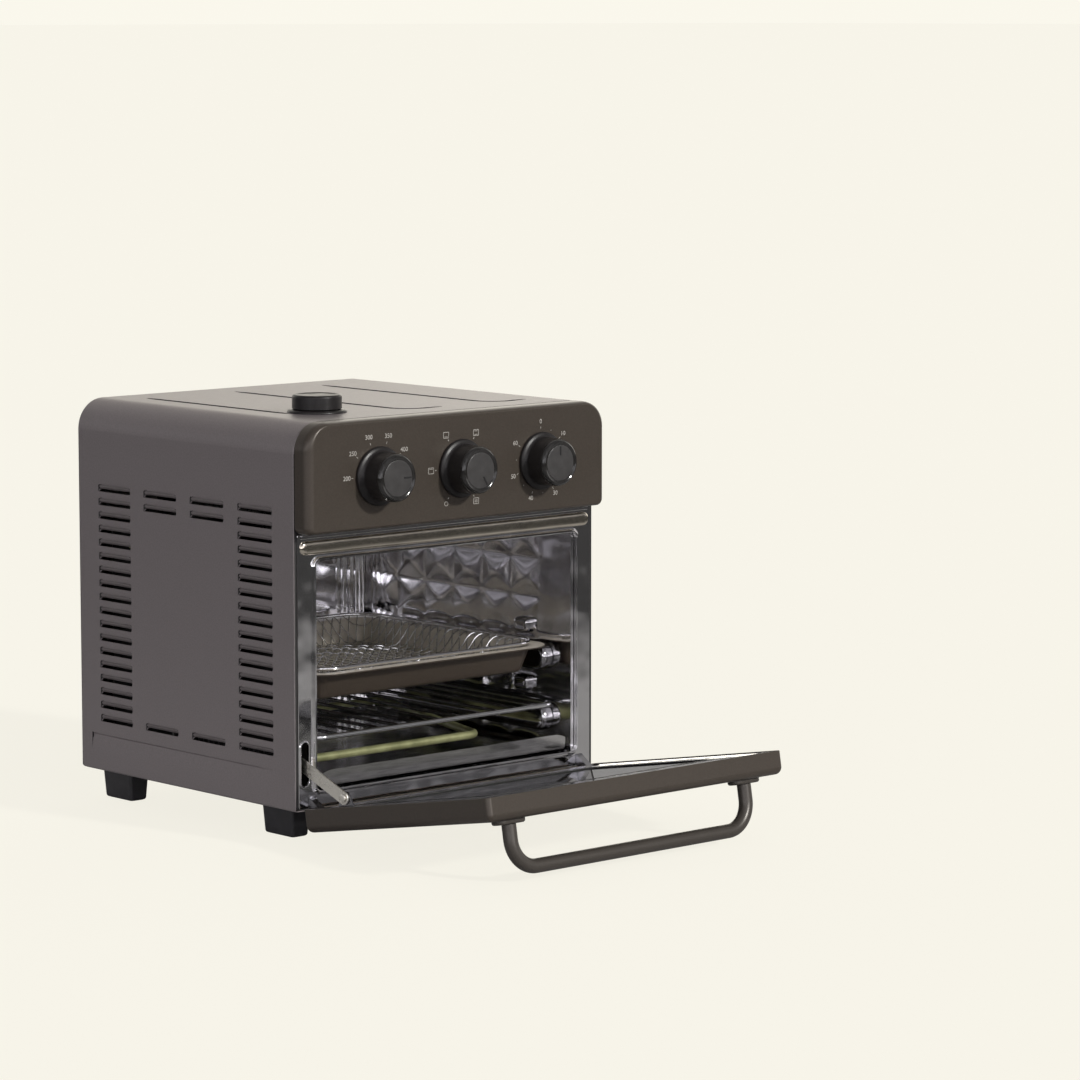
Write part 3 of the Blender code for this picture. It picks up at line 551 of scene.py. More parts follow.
HOUSING_PAINT = paint("housing_paint", (0.218, 0.194, 0.194), 0.41, 0.30)
# Near-black paint for the shadow in the top's grooves: painted shade.
GROOVE_SHADE = paint("groove_painted_shade", (0.034, 0.030, 0.029), 0.55, 0.10)
PANEL_PAINT = paint("panel_paint", (0.062, 0.0505, 0.040), 0.36, 0.28)
HANDLE_PAINT = paint("handle_paint", (0.062, 0.054, 0.046), 0.34, 0.25)
KNOB_PLASTIC = moulded("knob_plastic", (0.014, 0.0125, 0.0125), 0.36, Specular_IOR_Level=0.3)
KNOB_DISC = moulded("knob_disc", (0.043, 0.041, 0.040), 0.38)
KNOB_GLOSS = moulded("knob_gloss", (0.020, 0.019, 0.018), 0.12, height=0.00001)
POINTER_BLACK = moulded("pointer_black", (0.006, 0.006, 0.006), 0.5)
MARK_PRINT = moulded("mark_print", (0.42, 0.40, 0.365), 0.6, height=0.00001)
CHROME = polished("chrome_steel", (0.75, 0.74, 0.745), 0.07, wave=0.00014)
LINER = polished("cavity_steel", (0.86, 0.85, 0.87), 0.09, wave=0.00010)
# Darker copy of the cavity steel for the rails and stop tabs: painted shade for their dark reflections.
RAIL_STEEL_SHADE = polished("rail_steel_painted_shade", (0.44, 0.43, 0.44), 0.07)
# Darker, warmer copy of the chrome for the bead: painted reflection of the dark floor in front.
BEAD_REFLECTION_STEEL = polished("bead_steel_painted_reflection", (0.70, 0.64, 0.54), 0.13)
SPRING_STEEL = polished("spring_steel", (0.035, 0.034, 0.033), 0.45)
# Darker steel for the hinge ears and stay lug: painted shade for the dark reflections they show.
HINGE_STEEL_SHADE = polished("hinge_steel_painted_shade", (0.30, 0.30, 0.32), 0.16)
# Darker zinc for parts inside the housing seen through the vents: painted shade.
DARK_ZINC_SHADE = polished("zinc_painted_shade", (0.13, 0.13, 0.125), 0.50)
ZINC = polished("zinc_steel", (0.52, 0.51, 0.49), 0.32, grain=(1, 12, 1))
SATIN_STEEL = polished("satin_steel", (0.84, 0.81, 0.74), 0.30, wave=0.00001, grain=(1, 3, 3))
BRIGHT_WIRE = polished("bright_wire", (0.72, 0.72, 0.72), 0.14)
TRAY_STEEL = polished("tray_steel", (0.66, 0.65, 0.64), 0.16, grain=(14, 1, 1))
BLACK_PLASTIC = moulded("black_plastic", (0.034, 0.033, 0.035), 0.42)
GASKET_BLACK = moulded("gasket_black", (0.010, 0.010, 0.010), 0.6)
SWITCH_GREY = moulded("switch_grey", (0.07, 0.07, 0.073), 0.5)
HEATER_OXIDE = oxide("heater_oxide")
GLASS = pane("door_glass")
# Near-black painted shade for the backs of sheets and hidden faces inside the housing, seen through
# slits and gaps.
SHEET_BACK_SHADE = moulded("sheet_back_painted_shade", (0.018, 0.017, 0.016), 0.6)
PAN_INSIDE = paint("pan_inside", (0.52, 0.475, 0.40), 0.30, 0.10)
PAN_OUTSIDE = paint("pan_outside", (0.052, 0.040, 0.030), 0.34, 0.20)


# Housing

def louvre_depth(y, z):
    """How far a louvre's blade lies behind the side: a crease at its top, then a slope."""
    height = LOUVRE_RISE - SLIT_HALF
    start, end = LOUVRE_CREASE
    for middle, slit in LOUVRES:
        inside = LOUVRE_LENGTH / 2 - abs(y - middle)
        drop = slit + LOUVRE_RISE - z
        if inside < -1e-6 or not 0 <= drop <= height + 1e-6:
            continue
        cut_off = LOUVRE_END - sqrt(LOUVRE_END ** 2 - max(LOUVRE_END - inside, 0) ** 2 + 1e-12)
        if cut_off <= drop:
            share = (drop - cut_off) / height
            slope = 0.5 * min(share / start, 1) if share < end else 0.05 + 0.95 * share ** 2
            return LOUVRE_DEPTH * slope * min(max(inside, 0) / 0.0004, 1)
    return 0


def in_slit(point):
    """Whether a point of a side lies in the open slit of a louvre."""
    reach = LOUVRE_LENGTH / 2 - LOUVRE_END * 0.4
    return any(abs(point.y - middle) < reach and abs(point.z - slit) < SLIT_HALF
               for middle, slit in LOUVRES)


def side_depth(y, z):
    """How far a side's surface lies behind its plane."""
    depth = louvre_depth(y, z)
    below = LEDGE_Z - z
    behind = LEDGE_END_Y - y
    if 0 < below < LEDGE_FADE and behind > 0:
        fade = min(max((y - FRONT_Y - 0.022) / 0.03, 0), 1)
        on_line = below < LEDGE_LINE or behind < LEDGE_LINE and below < 0.004
        share = 1.4 if on_line else 1 - below / LEDGE_FADE
        depth += LEDGE_DEPTH * share * fade
    edge = y - FRONT_Y
    return depth + 0.0006 * max(1 - edge / 0.001, 0) ** 2


def side_lines():
    """Heights and depths along Y at which a side needs a line of points."""
    ledge = (-LEDGE_FADE, -LEDGE_FADE / 2, -0.0050, -0.0039, -LEDGE_LINE - 0.0003,
             -LEDGE_LINE + 0.0001, -0.0001, 0)
    heights = {BASE_Z + 0.0015, BASE_Z + 0.004, TOP_Z - SHELL_RADIUS}
    heights |= {LEDGE_Z + rise for rise in ledge}
    blade = LOUVRE_RISE - SLIT_HALF
    for row in range(LOUVRE_ROWS):
        slit = LOUVRE_TOP_Z - row * LOUVRE_PITCH
        heights |= {slit - SLIT_HALF, slit + LOUVRE_RISE, slit + LOUVRE_RISE + 0.0001}
        heights |= {slit + SLIT_HALF + blade * share for share in BLADE_LINES}
    depths = {FRONT_Y + back for back in (0, 0.0004, 0.001, 0.022, 0.037, 0.052)}
    depths |= {LEDGE_END_Y + back for back in ledge[4:]} | {0, BACK_Y - REAR_ROUND, SHELL_HIGH.y}
    for middle in LOUVRE_COLUMNS:
        for share in (0, 0.15, 0.4, 0.7, 0.9, 1):
            reach = LOUVRE_LENGTH / 2 - LOUVRE_END * share
            depths |= {middle - reach, middle + reach}
    return sorted(heights), sorted(depths)


def shell_side(side):
    """One side of the wrapped sheet, with its hem and its pressed louvres."""
    heights, depths = side_lines()
    corner = 0.0015
    hem = [(HEM, BASE_Z), (corner, BASE_Z), (corner * 0.3, BASE_Z + corner * 0.3)]
    rows = []
    for inset, z in hem + [(0, z) for z in heights]:
        rise = max(REAR_ROUND - (z - BASE_Z), 0)
        limit = SHELL_HIGH.y - (REAR_ROUND - sqrt(max(REAR_ROUND ** 2 - rise ** 2, 0)))
        rows.append([Vector((side * (HALF_WIDTH - inset - side_depth(y, z)), min(y, limit), z))
                     for y in depths])
    return sheet(rows, SHEET, side < 0, in_slit)


def arch(inset, low):
    """The housing's outline over a height, moved in by an inset; open at its foot."""
    half = HALF_WIDTH - inset
    path = [(Vector((-half, low)), 0), (Vector((-half, TOP_Z - inset)), SHELL_RADIUS - inset),
            (Vector((half, TOP_Z - inset)), SHELL_RADIUS - inset), (Vector((half, low)), 0)]
    return round_corners(path, 14, closed=False)


def shell_top():
    """The top of the wrapped sheet and its two rounded corners, with pressed grooves."""
    low = TOP_Z - SHELL_RADIUS
    inner = arch(SHEET + GROOVE_DEPTH, low)[::-1]
    edge = ((0, 0.0006), (0.0004, 0.00022), (0.001, 0), (SHELL_HIGH.y - FRONT_Y, 0))
    body = loft([lift(arch(inset, low) + inner, "Y", FRONT_Y + back) for back, inset in edge])
    for x, rear, front, is_bent in GROOVES:
        end = Vector((x, front))
        corners = [(Vector((x, rear)), 0), (end, 0.020)]
        if is_bent:
            corners.append((end + GROOVE_TAIL, 0))
        centre_z = TOP_Z + GROOVE_RADIUS - GROOVE_DEPTH
        route = spaced(lift(round_corners(corners, 10, closed=False), "Z", centre_z), 0.006)
        cut(body, tube(route, GROOVE_RADIUS, 10, taper=lambda t: min(12 * t, 12 * (1 - t), 0.6) + 0.4))
    return cut(body, turned(((0.0165, TOP_Z - 0.01), (0.0165, TOP_Z + 0.01)), "Z", INLET.xy))


def spaced(route, step):
    """Points at even steps along a route."""
    points = [route[0]]
    for start, end in zip(route, route[1:]):
        count = max(int((end - start).length / step), 1)
        points += [start.lerp(end, share) for share in even(0, 1, count)[1:]]
    return points


def build_shell():
    """Wrapped outer shell: two louvred sides and the top, and a flange behind its front edge."""
    flange = arch(SHEET + 0.0001, BASE_Z + 0.002) + arch(SHEET + FLANGE, BASE_Z + 0.002)[::-1]
    # Painted shade: the flange turned in behind the front edge is near-black, for the dark seam by the
    # frame.
    inward = painted(prism(flange, "Y", FRONT_Y + 0.0006, FRONT_Y + 0.0012), 1)
    body = join([shell_side(-1), shell_side(1), shell_top()])
    corner_z = TOP_Z - SHELL_RADIUS
    # Painted shade: faces that point into the housing are near-black.
    painted(body, 1, lambda middle, normal:
            normal.x * middle.x + normal.z * max(middle.z - corner_z, 0) < -0.001)
    # Painted shade: the up-facing faces down in the top's grooves take the near-black groove paint.
    painted(body, 2, lambda middle, normal:
            normal.z > 0 and abs(middle.x) < 0.12 and middle.z < TOP_Z - 0.0001)
    # Painted shade: end walls of the louvre pockets that face the front are near-black, for the shadow
    # in them.
    painted(body, 1, lambda middle, normal:
            normal.y < -0.4 and middle.y > FRONT_Y + 0.02 and middle.z < corner_z)
    piece(join([body, inward]), "housing_wrap", "oven", "housing_paint",
          [HOUSING_PAINT, SHEET_BACK_SHADE, GROOVE_SHADE], ["outer_shell"], 22)


def build_back():
    """Back panel with a rolled edge, a pressed field, vent slots before a baffle, and screws."""
    low, high = Vector((-HALF_WIDTH, BASE_Z)), Vector((HALF_WIDTH, TOP_Z))
    inner_y = place("back_panel")[0].y
    radii = [0.003, 0.003, SHELL_RADIUS, SHELL_RADIUS]
    rings = []
    for inset, y in section(inner_y, (1, 0), (0, 0.1)) + section(
            BACK_Y, (0, -0.2), (0.2, 0), (10, 0), (10.6, -0.4), (60, -0.4)):
        edge = Vector((inset, inset))
        outline = rounded_box(low + edge, high - edge, [max(r - inset, 0.001) for r in radii], 10)
        rings.append(lift(outline, "Y", y))
    body = loft(rings)
    half = Vector((0.028, 0.0015))
    for side in (-1, 1):
        for row in range(6):
            middle = Vector((side * 0.045, 0.300 - row * 0.011))
            slot = rounded_box(middle - half, middle + half, 0.0014)
            cut(body, prism(slot, "Y", BACK_Y - 0.005, BACK_Y + 0.005))
    # Painted shade: the baffle and its studs behind the vent slots are near-black.
    baffle_y = inner_y - 0.0050
    parts = [body, painted(box((-0.080, baffle_y, 0.239), (0.080, baffle_y + 0.0006, 0.307)), 1)]
    for x in (-0.075, 0, 0.075):
        ends = ((0.002, baffle_y + 0.0001), (0.002, inner_y + 0.0002))
        parts.append(painted(turned(ends, "Y", (x, 0.273), 16), 1))
    piece(join(parts), "back_cover", "oven", "zinc_steel", [ZINC, SHEET_BACK_SHADE], ["back_panel"])
    screws = []
    for x in (-0.142, 0, 0.142):
        for z, share in ((0.036, 1), (0.18, 1), (0.322, 0.9)):
            if x or z != 0.18:
                screws.append(screw(Vector((x * share, BACK_Y, z)), 0.0032, 1))
    piece(join(screws), "back_screws", "oven", "zinc_steel", ZINC)


def screw(head, radius, side):
    """A domed head with a cross recess, facing along +Y or -Y."""
    profile = ((0, 0), (1, 0), (1, 0.0005), (0.75, 0.0013), (0.4, 0.0017), (0, 0.0018))
    body = turned([(radius * share, head.y + side * height) for share, height in profile],
                  "Y", head.xz, 24)
    long, thin = radius * 0.55, radius * 0.12
    for half in (Vector((long, thin)), Vector((thin, long))):
        slot = rounded_box(head.xz - half, head.xz + half, 0, 1)
        cut(body, prism(slot, "Y", head.y + side * 0.0008, head.y + side * 0.003))
    return body


def build_feet():
    """Four tapered block feet with softly rounded edges."""
    for end in ("front", "rear"):
        for side in ("left", "right"):
            node = f"foot_{end}_{side}"
            low, high = place(node)
            rings = []
            for inset, z in section(0, (3.4, 0), (2.4, 0.5), (1.8, 1.6)) + section(
                    high.z, (0.2, -2), (0, 0)):
                edge = Vector((inset, inset))
                rings.append(lift(rounded_box(low.xy + edge, high.xy - edge, 0.0025), "Z", z))
            piece(loft(rings), f"{node}_block", "oven", "black_plastic", BLACK_PLASTIC, [node])


# Front

def panel_ring(share, y):
    """The control panel's outline as its front edge turns in; share runs from 0 to 1."""
    side_inset = 0.0070 * share
    top_inset = 0.0026 * share
    low = Vector((PANEL_LOW.x + side_inset, PANEL_LOW.z + top_inset))
    high = Vector((PANEL_HIGH.x - side_inset, PANEL_HIGH.z - top_inset))
    radii = [0.006 - 0.003 * share] * 2 + [0.022 - 0.007 * share] * 2
    return lift(rounded_box(low, high, radii, 12), "Y", y)


def build_panel():
    """Control panel: a deep tray with soft vertical edges."""
    back = FRONT_Y - 0.0005
    rings = [panel_ring(share, back - drop) for share, drop in ((0.07, 0), (0.02, 0.0003), (0, 0.0008))]
    for angle in even(0, pi / 2, 10):
        rings.append(panel_ring(1 - cos(angle), PANEL_Y + PANEL_TURN * (1 - sin(angle))))
    piece(loft(rings), "panel_face", "oven", "panel_paint", PANEL_PAINT, ["control_panel"], 25)


def label(text, middle):
    """A short number, as thin raised print on the panel."""
    curve = bpy.data.curves.new("label", "FONT")
    curve.body = text
    curve.size = PRINT_SIZE
    curve.extrude = PRINT
    curve.align_x = curve.align_y = "CENTER"
    holder = bpy.data.objects.new("label", curve)
    bpy.context.collection.objects.link(holder)
    mesh = bmesh.new()
    mesh.from_mesh(evaluated_mesh(holder))
    bpy.data.objects.remove(holder)
    return moved(shown(mesh), Matrix.Translation(middle) @ Matrix.Rotation(pi / 2, 4, "X"))


def on_dial(centre, clock, radius):
    """The point on the panel at a clock angle and a radius from a knob."""
    angle = radians(clock)
    return centre + Vector((sin(angle) * radius, 0, cos(angle) * radius))


def tick(centre, clock, start, end, width):
    """A short radial line printed beside a knob."""
    bar = prism(rounded_box((-width / 2, start), (width / 2, end), 0, 1), "Y", -PRINT, PRINT)
    return moved(bar, Matrix.Translation(centre) @ Matrix.Rotation(radians(clock), 4, "Y"))


ICON_BARS = {                # (x, z, half width, half height) of each printed line, in mm
    "top": [(0, 1.1, 1.4, 0.16)],
    "bottom": [(0, -1.1, 1.4, 0.16)],
    "both": [(0, 1.1, 1.4, 0.16), (0, -1.1, 1.4, 0.16)],
    "fan": [(0, 0, 1.0, 0.16), (0, 0.6, 0.16, 0.4), (0, -0.6, 0.16, 0.4)],
    "steam": [(-0.9, 0, 0.16, 1.1), (0, 0, 0.16, 1.1), (0.9, 0, 0.16, 1.1)],
}
ICON_FRAME = [(0, 1.9, 2.2, 0.16), (0, -1.9, 2.2, 0.16), (-2.2, 0, 0.16, 1.7), (2.2, 0, 0.16, 1.7)]
ICON_SCALE = 0.0012


def dial_icon(kind, middle):
    """A small generic picture of a cooking function; off is a ring."""
    if kind == "off":
        ring = ((0.0019, -PRINT), (0.0019, PRINT), (0.0015, PRINT), (0.0015, -PRINT))
        return moved(turned(ring, "Y", (0, 0), 24, looped=True), Matrix.Translation(middle))
    bars = []
    for x, z, half_x, half_z in ICON_FRAME + ICON_BARS[kind]:
        outline = rounded_box((x - half_x, z - half_z), (x + half_x, z + half_z), 0, 1)
        bars.append(prism([point * ICON_SCALE for point in outline], "Y", -PRINT, PRINT))
    return moved(join(bars), Matrix.Translation(middle))


def build_marks():
    """Numbers, ticks and small pictures round the three knobs."""
    marks = []
    start, long_end, short_end = 0.0255, 0.0272, 0.0264
    for name, _ in DIALS:
        centre = pivot(f"{name}_turn")
        centre.y = PANEL_Y - 0.00005
        if name == "temperature":
            for step in range(6):
                clock = -90 + 36 * step
                marks.append(tick(centre, clock, start, long_end, 0.0004))
                marks.append(label(str(200 + 50 * step), on_dial(centre, clock, 0.0318)))
        if name == "function":
            for step, kind in enumerate(("off", "top", "bottom", "both", "fan", "steam")):
                clock = -150 + 60 * step
                marks.append(tick(centre, clock, start, 0.0268, 0.0006))
                marks.append(dial_icon(kind, on_dial(centre, clock, 0.0310)))
        if name == "timer":
            for minute in range(0, 65, 5):
                is_long = minute % 10 == 0
                marks.append(tick(centre, minute * 5, start, long_end if is_long else short_end, 0.0004))
                if is_long:
                    marks.append(label(str(minute), on_dial(centre, minute * 5, 0.0312)))
    piece(join(marks), "panel_marks", "oven", "panel_paint", MARK_PRINT)


def build_knobs():
    """Skirted knobs with a glossy front ring, a paler disc and a short pointer line."""
    front = PANEL_Y - KNOB_LENGTH
    skirt = section(PANEL_Y, (0, -0.3), (22.4, -0.3), (23, -0.8), (23, -2.2), (22.6, -2.9),
                    (21.6, -3.4), (20.4, -3.7), (19.3, -4.6), (18.7, -6), (19, -8.5),
                    (18.7, -19.6), (0, -19.6))
    ring = section(front, (13, 4.1), (18.6, 4.1), (18.6, 3), (18.2, 1.6), (17.4, 0.6), (16.5, 0),
                   (15.9, 0.1), (15.4, 0.6), (13, 1))
    face = section(front, (0, 4), (14, 4), (14, 0.7), (13.6, 0.5), (0, 0.4))
    looks = [KNOB_PLASTIC, KNOB_GLOSS, KNOB_DISC, POINTER_BLACK]
    for name, clock in DIALS:
        centre = pivot(f"{name}_turn")
        parts = [painted(turned(points, "Y", centre.xz, looped=points is ring), index)
                 for index, points in enumerate((skirt, ring, face))]
        line = box((-0.0006, -0.0003, 0.0060), (0.0006, 0.0006, 0.0132), 0.0001)
        spot = Vector((centre.x, front + 0.0004, centre.z))
        moved(line, Matrix.Translation(spot) @ Matrix.Rotation(radians(clock), 4, "Y"))
        parts.append(painted(line, 3))
        piece(join(parts), f"dial_{name}", f"{name}_dial", "knob_plastic", looks, [f"knob_{name}"], 40)


def build_front_frame():
    """Bright frame round the mouth: rolled lip, rimmed stay slot and a round-ended bead."""
    face = FRAME_FACE_Y
    mouth = (Vector((-MOUTH_X, MOUTH_LOW)), Vector((MOUTH_X, MOUTH_HIGH)), 0.005)
    slot = (*STAY_SLOT, 0.0035)
    back = face + 0.0012
    plate = moulding(FRAME_LOW.xz, FRAME_HIGH.xz, 0.002, "Y",
                     section(face, (0, 1.2), (0, 0.3), (-0.3, 0), (-2, 0)), False)
    for hole, steps in ((mouth, 8), (slot, 6)):
        cut(plate, prism(rounded_box(*hole, steps), "Y", back + 0.01, back - 0.02))
    lip = moulding(*mouth, "Y", section(
        face, (0, 1.2), (-0.3, -1), (-0.2, -1.9), (0.4, -2.4), (1.1, -2.4), (1.7, -1.9), (2, -1),
        (2.6, -0.3), (4, 0.1), (4, 1.2)))
    rim = moulding(*slot, "Y", section(
        face, (0, 1.2), (0, -0.7), (0.3, -1.1), (0.8, -1), (1.4, -0.2), (1.6, 0.1), (1.6, 1.2)))
    bead = moulding((-0.1495, 0.2270), (0.1495, 0.2380), 0.0052, "Y", section(
        face, (0, 0.3), (0, -0.3), (-0.4, -1.2), (-1.2, -1.9), (-2.4, -2.2), (-5, -2.2)), False)
    return_strip = box((-0.1485, face - 0.0012, 0.2395), (0.1485, face + 0.0004, 0.2424), 0.0005)
    # The bead takes the darker, warmer steel, a painted reflection.
    body = join([plate, lip, rim, painted(bead, 1), return_strip])
    # Painted shade: the frame's back faces, behind the front, are near-black.
    painted(body, 2, lambda middle, normal: normal.y > 0.5)
    piece(body, "mouth_frame", "oven", "chrome_steel", [CHROME, BEAD_REFLECTION_STEEL, SHEET_BACK_SHADE],
          ["front_frame"], 30)


# Cavity

def triangle(value, pitch):
    """Distance to the nearest of a set of even lines, from 0 on it to 1 between two."""
    share = (value / pitch) % 1
    return 1 - abs(2 * share - 1)


def quilt(y, z):
    """Height of the pressed pyramids on a side wall, which meet in soft creases."""
    if not QUILT_START.x <= y <= 0.118 or z < 0.050:
        return 0
    along = triangle(y - QUILT_START.x, QUILT_PITCH.x)
    up = triangle(z - QUILT_START.y, QUILT_PITCH.y)
    slope = (max(along, 0.01) ** -5 + max(up, 0.01) ** -5) ** -0.2
    return QUILT_DEPTH * (1 - (1 - slope) ** 1.35)


def build_side_walls():
    """Quilted side walls with a flange behind the front frame, and stop tabs over the rails."""
    edge_y = -0.1258
    along = sorted(set(even(WALL_LOW.y, QUILT_START.x, 6) + [edge_y - 0.0004, edge_y + 0.0004]
                       + even(QUILT_START.x, 0.0800, 60) + even(0.0800, REAR_WALL_Y - GAP, 14)))
    up = even(WALL_LOW.z, QUILT_START.y, 20) + even(QUILT_START.y, ROOF_Z - GAP, 46)[1:]
    for side, name in ((-1, "left"), (1, "right")):
        back_x = side * (CAVITY_X + LINER_SHEET)
        rows = []
        for z in up:
            rows.append([Vector((side * (CAVITY_X + 0.0002 - 0.0008 * (y < edge_y) - quilt(y, z)), y, z))
                         for y in along])
        wall = relief(rows, lambda point: Vector((back_x, point.y, point.z)))
        # Painted shade: the walls' backs, behind the cavity, are near-black.
        painted(wall, 2, lambda middle, normal: abs(middle.x) > CAVITY_X + LINER_SHEET / 2)
        near, far = sorted((side * CAVITY_X, side * (MOUTH_X + 0.0045)))
        flange = box((near, WALL_LOW.y + 0.0001, WALL_LOW.z), (far, WALL_LOW.y + 0.0008, WALL_HIGH.z))
        # Painted shade: the stop tabs take the darker rail steel.
        tabs = [painted(stop_tab(side, rail_top), 1) for rail_top in RAIL_TOPS.values()]
        node = f"cavity_{name}_wall"
        piece(join([wall, flange] + tabs), f"{node}_quilted", "oven", "cavity_steel",
              [LINER, RAIL_STEEL_SHADE, SHEET_BACK_SHADE], [node], 32)


def wall_section(side, *rows):
    """Profile points from rows of (reach, height off the side wall) in millimetres."""
    return [(reach, side * (CAVITY_X - height)) for reach, height in section(0, *rows)]


def stop_tab(side, rail_top):
    """A pressed round-cornered tab over a rail."""
    low = Vector((TAB_Y - 0.009, rail_top + (0.0065 if rail_top > 0.1 else 0.009)))
    points = wall_section(side, (0, -0.3), (0, 4), (-0.3, 5.6), (-1, 7), (-2, 7.8), (-3.2, 8),
                          (-4.2, 7.6), (-5.6, 7.4))
    return moulding(low, low + Vector((0.018, 0.0125)), 0.0042, "X", points, False)


def flute(x):
    """How far the rear wall's upright flutes stand out."""
    near = sum(max(1 - abs(abs(x) - middle) / 0.0026, 0) for middle in FLUTES)
    return 0.0016 * (0.5 - 0.5 * cos(pi * min(near, 1)))


def build_cavity_rest():
    """Fluted rear wall and ribbed floor."""
    across = even(-CAVITY_X - LINER_SHEET, CAVITY_X + LINER_SHEET, 240)
    rows = [[Vector((x, REAR_WALL_Y - flute(x), z)) for x in across]
            for z in even(WALL_LOW.z, ROOF_Z - GAP, 4)]
    rear = relief(rows, lambda point: Vector((point.x, REAR_WALL_Y + LINER_SHEET, point.z)))
    # Painted shade: the rear wall's back, behind the cavity, is near-black.
    painted(rear, 1, lambda middle, normal: normal.y > 0.5)
    piece(rear, "rear_wall_fluted", "oven", "cavity_steel", [LINER, SHEET_BACK_SHADE],
          ["cavity_rear_wall"], 30)
    across = even(-CAVITY_X + GAP, CAVITY_X - GAP, 44)
    rows = []
    for y in even(WALL_LOW.y, REAR_WALL_Y - GAP, 60):
        dip = 0.0006 * max(cos((y + 0.01) / 0.011), 0) ** 2
        rows.append([Vector((x, y, FLOOR_Z - dip * (abs(x) < 0.121))) for x in across])
    floor = relief(rows, lambda point: Vector((point.x, point.y, FLOOR_Z - LINER_SHEET)))
    piece(floor, "floor_ribbed", "oven", "cavity_steel", LINER, ["cavity_floor"], 30)


def build_roof():
    """Roof sheet with the fan opening and the steam port."""
    low, high = place("cavity_roof")
    body = prism(rounded_box(low.xy, high.xy, 0, 1), "Z", low.z, high.z)
    for centre, radius, steps in ((pivot("fan_spin"), 0.050, 64), (INLET, 0.0035, 24)):
        cut(body, prism(disc(centre.xy, radius, steps), "Z", low.z - 0.01, high.z + 0.01))
    # Painted shade: the roof's top face, inside the housing, is near-black.
    painted(body, 1, lambda middle, normal: normal.z > 0.5)
    piece(body, "roof_sheet", "oven", "cavity_steel", [LINER, SHEET_BACK_SHADE], ["cavity_roof"])


def build_rails():
    """Round-ended pressed rails with a ridge round their dished faces."""
    for side, side_name in ((-1, "left"), (1, "right")):
        points = wall_section(side, (0, 0.4), (-0.1, 4.5), (-0.4, 7), (-1, 8.8), (-1.8, 9.7),
                              (-2.7, 10), (-3.6, 9.6), (-4.5, 8.6), (-5.6, 8.1), (-8, 7.9),
                              (-10.4, 7.9))
        for level, top in RAIL_TOPS.items():
            low, high = (RAIL_Y[0], top - RAIL_HEIGHT), (RAIL_Y[1], top)
            body = moulding(low, high, RAIL_HEIGHT / 2 - 0.0002, "X", points, False, 12)
            node = f"rail_{level}_{side_name}"
            # The rails take the darker steel, painted shade.
            piece(body, f"{node}_pressed", "oven", "cavity_steel", RAIL_STEEL_SHADE, [node], 30)


def build_heaters():
    """Two bent heater tubes with collars where they pass the left wall."""
    rear = HEATER_BACK_Y
    for level, front, z, start in HEATERS:
        corners = [(Vector((-0.141, front, z)), 0), (Vector((0.066, front, z)), 0.011),
                   (Vector((0.120, rear, z)), 0.011), (Vector((-0.141, rear, z)), 0)]
        parts = [tube(round_corners(corners, 14, closed=False), HEATER_RADIUS, 24)]
        collar = section(start, (3.25, 0), (5.8, 0), (6, 1.5), (4.8, 2.2), (3.25, 4.5))
        parts += [turned(collar, "X", (y, z), 32, looped=True) for y in (front, rear)]
        piece(join(parts), f"heater_{level}_tube", "oven", "heater_sheath", HEATER_OXIDE,
              [f"heater_{level}"], 40)


# Steam fittings

def build_steam_fittings():
    """Flange and lift-off cap of the water inlet."""
    seat = TOP_Z + GAP
    ring = [(0.011, 0.300), (0.016, 0.300)] + section(
        seat, (16, 0), (23.5, 0), (23.5, 0.7), (23, 1.4), (22, 1.8), (20, 2), (11, 2))
    piece(turned(ring, "Z", INLET.xy, 72, looped=True), "inlet_flange", "oven", "knob_plastic",
          KNOB_PLASTIC, ["steam_inlet"], 40)
    cap = [(0, 0.316), (0.0085, 0.316), (0.010, 0.319)]
    cap += section(seat, (10, 2.3), (18.8, 2.3), (19.5, 2.9))
    cap += section(CAP_HIGH.z, (19.5, -2), (19.2, -1), (18.5, -0.3), (17.6, 0), (16, -0.1),
                   (15.2, -0.6), (0, -0.6))
    piece(turned(cap, "Z", INLET.xy, 72), "inlet_cap_turned", "inlet_cap", "knob_plastic",
          KNOB_PLASTIC, ["steam_cap"], 40)


# Door

def door_ring(reach, y):
    """The door's outline moved outwards by a reach, at a depth."""
    return lift(grown((-DOOR_HALF, DOOR_LOW), (DOOR_HALF, DOOR_HIGH), 0.004, reach, 8), "Y", y)


def door_openings(body):
    """Cut the window, and room for the hinge ears at the door's lower corners."""
    window = rounded_box(WINDOW_LOW, WINDOW_HIGH, 0.006, 8)
    cut(body, prism(window, "Y", DOOR_OUTER_Y - 0.01, DOOR_INNER_Y + 0.01))
    for side in (-1, 1):
        near, far = sorted((side * 0.134, side * 0.146))
        ear = rounded_box((near, DOOR_LOW - 0.001), (far, 0.0165), 0.001, 2)
        cut(body, prism(ear, "Y", -0.0065, 0.007))
    return body


